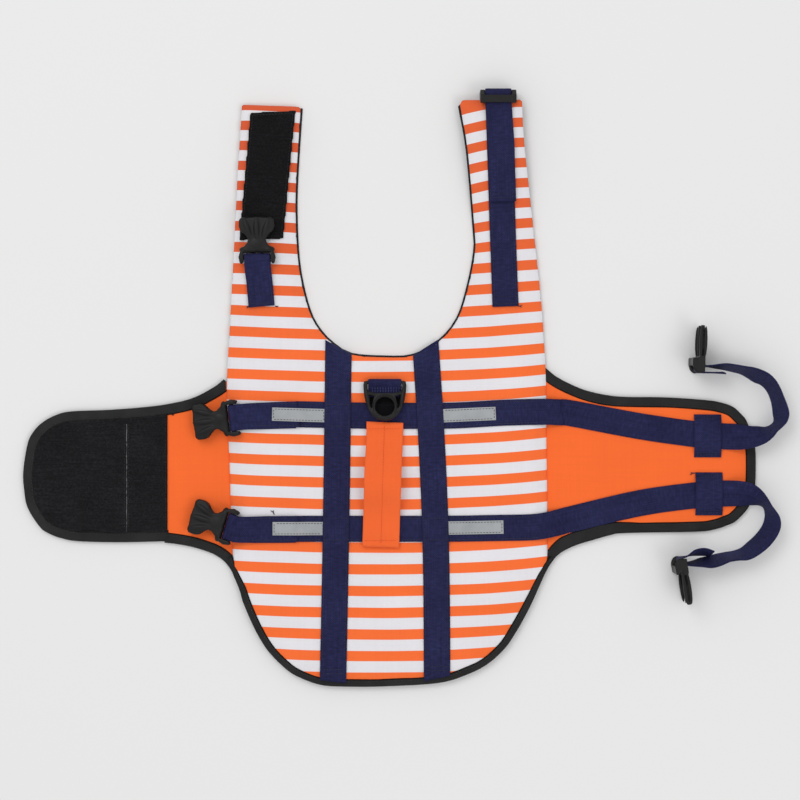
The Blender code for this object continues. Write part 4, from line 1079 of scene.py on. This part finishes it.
def under_handle(y):
    """The x of the handle's middle line, and the height of its under face there."""
    x = HANDLE_X + HANDLE_DRIFT * (y - HANDLE_TOP_Y) / HANDLE_RUN
    inside_y = min(max(y, HANDLE_TOP_Y - HANDLE_RUN + 0.4), HANDLE_TOP_Y - 0.4)
    return x, height_on("handle", x, inside_y, top=False)


rows = []
for y in range(HANDLE_TOP_Y, HANDLE_TOP_Y - HANDLE_RUN - 1, -2):
    x, under = under_handle(y)
    rows.append((x, y, under, 0))
handle, _ = strip("handle_edge_shade", rows, HANDLE_WIDTH, HANDLE_THICK, section=HANDLE_SECTION)
points = places(handle)
for i, (x, y, z) in enumerate(points):
    near_end = min(abs(y / MM - HANDLE_TOP_Y), abs(y / MM - HANDLE_TOP_Y + HANDLE_RUN))
    sewn = math.exp(-((near_end - 7) / 2.2) ** 2)
    thin = math.exp(-(near_end / 1.5) ** 2)
    base = under_handle(y / MM)[1] * MM
    points[i, 2] = base + (z - base) * (1 - 0.38 * sewn - 0.45 * thin)
    points[i, 2] += 0.35 * MM * noise.noise(Vector((x * 55, y * 55, 2)))
    points[i, 0] += 0.5 * MM * noise.noise(Vector((3, y * 30, math.copysign(1, x + 0.0214))))
set_places(handle, points)
handle.data.materials.append(handle_cloth)
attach(handle, "root")
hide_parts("handle")

# ---------------------------------------------------------------------------------------------
# Lead ring and its tab. A moulded black plastic ring with a round eye held by two ribs, swinging
# on a bar inside a folded webbing tab, which is bar-tacked to the back above the upper belt.
# ---------------------------------------------------------------------------------------------
RING_X = -19.4
RING_BAR = (RING_X, 5.8, 14.3)
RING_BAR_RADIUS = 1.6
RING_TILT = 9.0
TAB_WIDTH = 32.4
rows = [(RING_X, -8.5, ON_PAD, 0), (RING_X, -2, ON_PAD, 0), (RING_X, 2, ON_PAD + 0.1, 0)]
rows += bar_turn(RING_BAR, 90, RING_BAR_RADIUS + 0.35 + WEB / 2)
rows += [(RING_X, 2.5, 14.9, 0), (RING_X, -2, ON_PAD + SECOND_LAYER + 0.1, 0), (RING_X, -8.5, ON_PAD + SECOND_LAYER, 0)]
tab = sewn_strip(
    "ring_tab_webbing", "ring_tab", rows, TAB_WIDTH, WEB, webbing, "webbing", "folded", ["back_cushion"], step=1.0
)

plastic, tree, shader = finish_of("moulded_plastic", 0.42, Specular_IOR_Level=0.22)
where = new_node(tree, "TexCoord").outputs["Object"]
grain = noisy(tree, where, 2400.0, 2.0)
rubbed = use_group(tree, handling, {"Vector": where, "Size": 70.0})
tone = ranged(tree, rubbed["Patches"], 0.3, 0.7, 0.85, 1.25)
tinted(tree, shader, linear("191818"), tone)
shine = ranged(tree, rubbed["Patches"], 0.3, 0.7, 0.34, 0.52)
tree.links.new(shine, shader["Roughness"])
bumped(tree, shader, grain, 0.25, 0.0001)


def moulded(name, solid, body, place, swells, voxel=0.55, kept=0.35):
    """A moulded part: the CAD solid with rounded swells run into it, softened, riding on its body.

    swells are the middle and half sizes of rounded bars in the part's own axes, in millimetres, with a turn about Z.
    """
    obj = copied(name, solid)
    bpy.ops.object.select_all(action="DESELECT")
    for middle, sizes, turn in swells:
        bpy.ops.mesh.primitive_uv_sphere_add(segments=24, ring_count=12, radius=1)
        swell = bpy.context.object
        shape = Matrix.Translation(middle) @ Matrix.Rotation(math.radians(turn), 4, "Z") @ Matrix.Diagonal((*sizes, 1))
        swell.data.transform(place @ Matrix.Scale(MM, 4) @ shape)
        obj.select_set(True)
        bpy.context.view_layer.objects.active = obj
        bpy.ops.object.join()
        obj.select_set(False)
    apply(obj, "REMESH", mode="VOXEL", voxel_size=voxel * MM)
    apply(obj, "SMOOTH", factor=0.5, iterations=4)
    apply(obj, "DECIMATE", ratio=kept)
    shade_smooth(obj)
    obj.data.materials.append(plastic)
    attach(obj, body)
    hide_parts(solid)
    return obj


def placed(origin, heading, tilt):
    """A part's own axes: origin in millimetres, turned about Z and then about its own Y."""
    turn = Matrix.Rotation(math.radians(heading), 4, "Z") @ Matrix.Rotation(math.radians(tilt), 4, "Y")
    return Matrix.Translation(Vector(origin) * MM) @ turn


ring_place = Matrix.Translation(Vector(RING_BAR) * MM) @ Matrix.Rotation(math.radians(-RING_TILT), 4, "X")
# From the bar to the eye's middle. Five thick ribs run round the eye's far side, over a rounded rim
EYE_AWAY = -24
ring_swells = []
for way in (-142, -116, -90, -64, -38):
    angle = math.radians(way)
    middle = (11.4 * math.cos(angle), EYE_AWAY + 11.4 * math.sin(angle), 0.6)
    ring_swells.append((middle, (4.6, 2.6, 2.2), way + 90))
for k in range(20):
    angle = math.radians(18 * k)
    middle = (10.4 * math.cos(angle), EYE_AWAY + 10.4 * math.sin(angle), 1.2)
    ring_swells.append((middle, (2.4, 1.2, 1.9), math.degrees(angle) + 90))
for side in (-1, 1):
    ring_swells.append(((side * 13.4, -11.8, 1.3), (4.6, 1.2, 1.2), side * 20))
    ring_swells.append(((side * 17.4, -14, 0.4), (2.4, 12.0, 3.0), side * -10))
moulded("lead_ring_moulding", "lead_ring", "ring_body", ring_place, ring_swells, voxel=0.42, kept=0.4)

# A thin black patch lies under the ring as painted shade, darkening its eye and windows: y, half width, and height of
# its top at its edges
rings = []
for y, half, z in (
    (-3.0, 13.5, 10.7), (-4.5, 15.6, 10.8), (-9.0, 16.0, 10.8), (-12.8, 15.6, 10.9), (-14.6, 15.2, 12.0),
    (-19.0, 14.0, 12.1), (-23.0, 12.0, 12.1), (-26.0, 9.5, 12.1), (-28.0, 6.5, 12.1), (-29.0, 3.0, 12.05),
):
    top = [(RING_X + place * half, y, z + 0.35 * (1 - place**6)) for place in (-1, -0.9, -0.5, 0, 0.5, 0.9, 1)]
    rings.append(top + [(RING_X + place * half, y, z - 0.5) for place in (1, 0, -1)])
patch = skin("ring_shade_patch", rings, lengths([r[0] for r in rings]), lengths(rings[4] + rings[4][:1]))
ring_shade_cloth, tree, shader = finish_of("ring_shade_cloth", 0.95, Specular_IOR_Level=0.03)
where = new_node(tree, "TexCoord").outputs["Object"]
nap = noisy(tree, where, 1300.0, 2.0)
tone = ranged(tree, nap, 0.3, 0.7, 0.6, 1.3)
tinted(tree, shader, linear("151416"), tone)
bumped(tree, shader, nap, 0.5, 0.0003)
patch.data.materials.append(ring_shade_cloth)
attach(patch, "root")

# ---------------------------------------------------------------------------------------------
# Side-release buckles. Moulded black plastic. The sockets have three soft fingers' ribs running
# back from the mouth to a narrow waist. The prong halves have a grip bar that locks the webbing.
# ---------------------------------------------------------------------------------------------
BODIES = {
    "buckle_female_upper": "buckle_upper_body",
    "buckle_female_lower": "buckle_lower_body",
    "buckle_female_neck": "buckle_neck_body",
}
# Sockets, along from the bar to the mouth: three ribs and a low dome on each face, the waist, and the shoulders
female_swells = []
for face in (-1, 1):
    female_swells += [
        ((28, 0, face * 4.0), (11.5, 2.9, 2.6), 0),
        ((28, 9.0, face * 3.9), (10.5, 2.7, 2.5), 19),
        ((28, -9.0, face * 3.9), (10.5, 2.7, 2.5), -19),
        ((13, 0, face * 4.1), (6.0, 6.5, 1.0), 0),
    ]
female_swells += [((8.2, side * 5, 0), (4.15, 9.5, 4.6), 0) for side in (-1, 1)]
female_swells += [((7.4, side * 11, 0), (3.4, 6.5, 4.9), 0) for side in (-1, 1)]
for side in (-1, 1):
    female_swells += [((36.6, side * 12.5, 0), (2.6, 4.2, 4.6), 0), ((-1.5, side * 15.6, 0), (5.2, 2.2, 4.7), 0)]
for solid, (x, y, z, heading, tilt) in FEMALES.items():
    moulded(solid + "_moulding", solid, BODIES[solid], placed((x, y, z), heading, tilt), female_swells)
moulded("buckle_male_neck_moulding", "buckle_male_neck", "root", Matrix.Identity(4), (), voxel=0.5, kept=0.3)
# The two on the belts stand on edge: x and y of the solid's bar, x and y of the grip end's middle, the way the
# prongs point in degrees, and how far they sit aside
MALES_ON_EDGE = {
    "buckle_male_upper": ((289.0, 18.6), (287.0, 22.4), 87.0, -3.9),
    "buckle_male_lower": ((271.4, -167.8), (269.0, -172.0), 281.0, 3.6),
}
MALES_SLIMMED = 0.78
for solid, (bar, middle, heading, aside) in MALES_ON_EDGE.items():
    blocks = []
    for z in (2.2, 33.8):
        blocks.append(((0, 0, z), (8.0, 8.0, 1.9), 0))
        blocks += [((23, aside + off, z), (15.5, 2.5, 2.3), 0) for off in (-2.6, 2.6)]
    obj = moulded(solid + "_moulding", solid, "root", placed((*middle, 0), heading, 0), blocks, voxel=0.5, kept=0.3)
    points = places(obj)
    points[:, 0] = bar[0] * MM + (points[:, 0] - bar[0] * MM) * MALES_SLIMMED
    points[:, :2] += (np.array(MALES[solid]) - bar) * MM
    set_places(obj, points)

# ---------------------------------------------------------------------------------------------
# Sewing. Tight lockstitch in thread that matches each piece, a tack where straps take a pull, and
# a few cut ends that were never trimmed.
# ---------------------------------------------------------------------------------------------
def thread_finish(name, code):
    """A twisted thread of one colour."""
    material, tree, shader = finish_of(name, 0.55, Sheen_Weight=0.2, Specular_IOR_Level=0.3)
    where = new_node(tree, "TexCoord").outputs["Object"]
    twist = noisy(tree, where, 4200.0, 1.0)
    tone = ranged(tree, twist, 0.3, 0.7, 0.7, 1.2)
    tinted(tree, shader, linear(code), tone)
    bumped(tree, shader, twist, 0.4, 0.0001)
    return material


def stitched(name, runs, on, material, pitch=3.0, length=2.3, radius=0.22, tufts=()):
    """Rows of stitches laid on the pieces under them, each a short arch of thread that dips in at its ends."""
    tree = search_tree(on)
    verts, faces = [], []

    def tube(path, radii, up):
        """A short closed length of thread along a path."""
        sides = 5
        for i, point in enumerate(path):
            ahead = (path[min(i + 1, len(path) - 1)] - path[max(i - 1, 0)]).normalized()
            side = ahead.cross(up).normalized()
            top = side.cross(ahead)
            for k in range(sides):
                angle = 2 * math.pi * k / sides
                verts.append((point + (side * math.cos(angle) + top * math.sin(angle)) * radii[i]) * MM)
        base = len(verts) - sides * len(path)
        for i in range(len(path) - 1):
            for k in range(sides):
                a, b = base + i * sides + k, base + i * sides + (k + 1) % sides
                faces.append((a, b, b + sides, a + sides))
        faces.append(tuple(base + k for k in reversed(range(sides))))
        faces.append(tuple(len(verts) - sides + k for k in range(sides)))

    for run in runs:
        points = even_run(run, pitch)
        for point, after in zip(points, points[1:]):
            along = (after - point).normalized() * length / 2
            middle = (point + after) / 2
            spots = []
            for spot in (middle - along, middle, middle + along):
                hit, normal, _, _ = tree.ray_cast(Vector((spot.x, spot.y, 60)) * MM, Vector((0, 0, -1)))
                if hit:
                    spots.append((hit / MM, normal))
            if len(spots) == 3 and abs(spots[0][0].z - spots[2][0].z) < 1.5:
                (start, _), (centre, normal), (end, _) = spots
                path = [
                    start - normal * radius * 0.7,
                    start.lerp(centre, 0.35) + normal * radius * 0.3,
                    centre + normal * radius * 0.55,
                    end.lerp(centre, 0.35) + normal * radius * 0.3,
                    end - normal * radius * 0.7,
                ]
                tube(path, [radius * s for s in (0.5, 0.95, 1.0, 0.95, 0.5)], normal)
    for x, y, way, size in tufts:
        hit = tree.ray_cast(Vector((x, y, 60)) * MM, Vector((0, 0, -1)))[0]
        z = hit.z / MM if hit else 4.0
        for k in range(2):
            angle = math.radians(way + 24 * k)
            bend = 0.6 - 1.1 * k
            path = []
            for j in range(6):
                t = j / 5 * size * (1 - 0.18 * k)
                path.append(Vector((
                    x + t * math.cos(angle + bend * t / size), y + t * math.sin(angle + bend * t / size),
                    z + 0.3 + 0.5 * math.sin(math.pi * j / 5),
                )))
            tube(path, [radius * 1.6] * 5 + [radius * 0.8], Vector((0, 0, 1)))
    mesh = bpy.data.meshes.new(name)
    mesh.from_pydata(verts, [], faces)
    obj = linked(name, mesh)
    face_outwards(mesh)
    shade_smooth(obj)
    mesh.materials.append(material)
    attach(obj, "root")
    return obj


def beside(rows, aside, low_x, high_x):
    """A run beside a strap's centre line, between two x."""
    points = [Vector(row[:2]) for row in rows if low_x <= row[0] <= high_x]
    moved = []
    for i, point in enumerate(points):
        ahead = points[min(i + 1, len(points) - 1)] - points[max(i - 1, 0)]
        side = Vector((-ahead.y, ahead.x)).normalized()
        moved.append(tuple(point + side * aside))
    return moved


navy_thread = thread_finish("navy_thread", "15162F")
black_thread = thread_finish("black_thread", "0C0C0E")
orange_thread = thread_finish("orange_thread", "C8481A")
grey_thread = thread_finish("dark_grey_thread", "1C1E22")

runs = []
for rows in (UPPER_BELT, LOWER_BELT):
    for aside in (-10.6, 10.6):
        runs.append(beside([(-150, rows[0][1] - 0.3)] + list(rows), aside, -151, 131))
for top, foot, bow, _ in SPINES.values():
    for aside in (-10.8, 10.8):
        runs.append([(x + aside, y) for x, y in spine_line(top, foot, bow, 20) if foot[1] + 3 < y < top[1] - 9])
    for y in (foot[1] + 4, foot[1] + 8):
        x = foot[0]
        runs.append([(x - 10, y), (x + 10, y)])
for aside in (-10.6, 10.6):
    runs.append([(-139.8 + aside, 82), (-142 + aside, 107)])
    runs.append([(98.5 + aside, 82), (94.2 + aside, 196)])
runs += [[(-150, 83), (-130, 83)], [(-150, 92), (-130.4, 92)], [(88.4, 83), (108.4, 83)], [(89.4, 90), (107.6, 90)]]
runs += [[(84.6, 186), (105, 186)], [(84.4, 189.5), (104.8, 189.5)]]
for x, y in KEEPERS.values():
    for off in (-18.6, -16.4, 16.4, 18.6):
        runs.append([(x - 11, y + off), (x + 11, y + off)])
strap_tufts = ((110.5, 80.5, -20, 4.5), (-126.5, 80.5, -35, 3.0), (-153, 80.5, 215, 2.5), (284.5, -83, 170, 5.0))
strap_tufts += ((-127.5, -123.5, 100, 5.5),)
stitched(
    "stitching_webbing", runs, straps + [left_neck, right_neck, tab, back], navy_thread,
    pitch=2.8, length=2.2, radius=0.27, tufts=strap_tufts,
)

light_thread = thread_finish("light_thread", "4A4D84")
runs = [[(-31.6 + 2.6 * k, -4), (-31.6 + 2.6 * k, 1.4)] for k in range(11)]
stitched("stitching_tack", runs, [tab], light_thread, pitch=2.4, length=2.2, radius=0.26)

runs = [inner_lines[solid] for solid in BINDINGS]
tapes = [bpy.data.objects[solid + "_tape"] for solid in BINDINGS]
stitched("stitching_binding", runs, tapes, black_thread, pitch=3.2, length=2.7, radius=0.28)

panels = [bpy.data.objects[name + "_fabric"] for name in ("loop_panel_wide", "loop_panel_narrow", "neck_loop_panel")]
runs = [[(-234.6, -31.5), (-234.6, -139)], [(-270.4, -34), (-270.4, -138)], [(-274.6, -34), (-274.6, -138)]]
runs += [[(-148.4, 267), (-159.2, 148)], [(-158.6, 147.6), (-121, 149)], [(-121, 149), (-109.4, 269)]]
runs += [[(-109.4, 269), (-148.4, 267)]]
wing_tufts = ((-232, -22.5, 10, 4.0), (-229, -25.5, -35, 3.0))
stitched(
    "stitching_fastening", runs, panels + [bpy.data.objects["wing_left_cloth"]], black_thread,
    pitch=3.0, tufts=wing_tufts,
)

runs = [[(-36, -39.5), (-3.2, -39.5)], [(-40, -148.6), (-6.6, -148.6)], [(-19.9, -36), (-23.1, -152)]]
stitched("stitching_handle", runs, [handle], orange_thread, pitch=2.8, length=2.1, radius=0.2)

runs = []
for (x0, y0), (x1, y1) in REFLECTIVE.values():
    half = REFLECTIVE_WIDTH / 2 - 1.5
    corners = ((x0 + 1.6, y0 - half), (x1 - 1.6, y1 - half), (x1 - 1.6, y1 + half), (x0 + 1.6, y0 + half))
    runs += [[a, b] for a, b in zip(corners, corners[1:] + corners[:1])]
stitched("stitching_reflective", runs, reflectors, grey_thread, pitch=3.0, length=2.1, radius=0.3)

# ---------------------------------------------------------------------------------------------
# Stage: a pale floor, soft light from all round with one broad lamp above the tail side, and a
# camera straight above the laid-out jacket.
# ---------------------------------------------------------------------------------------------
bpy.ops.object.select_all(action="DESELECT")
bpy.ops.mesh.primitive_plane_add(size=8, location=(0, 0, -0.0002))
floor = bpy.context.object
floor.name = "table"
paper, tree, shader = finish_of("pale_table", 0.9, Specular_IOR_Level=0.1)
shader["Base Color"].default_value = (0.82, 0.82, 0.82, 1)
floor.data.materials.append(paper)

scene = bpy.context.scene
scene.view_settings.view_transform = "Standard"
world = bpy.data.worlds.new("soft_room")
world.use_nodes = True
world.node_tree.nodes["Background"].inputs[0].default_value = (1, 1, 1, 1)
world.node_tree.nodes["Background"].inputs[1].default_value = 0.73
scene.world = world
for name, place, size, power in (
    ("broad_lamp", (-1.1, 1.5, 2.9), 1.6, 26.0),
    ("side_lamp", (1.5, -1.2, 2.6), 1.2, 12.0),
):
    lamp = bpy.data.lights.new(name, "AREA")
    lamp.size = size
    lamp.energy = power
    lamp_object = linked(name, lamp)
    lamp_object.location = place
    lamp_object.rotation_euler = (-Vector(place)).to_track_quat("-Z", "Y").to_euler()

lens = bpy.data.cameras.new("overhead")
lens.lens = 100
lens.clip_end = 20
camera = linked("overhead", lens)
camera.location = (-0.0046, -0.0114, 2.183)
scene.camera = camera
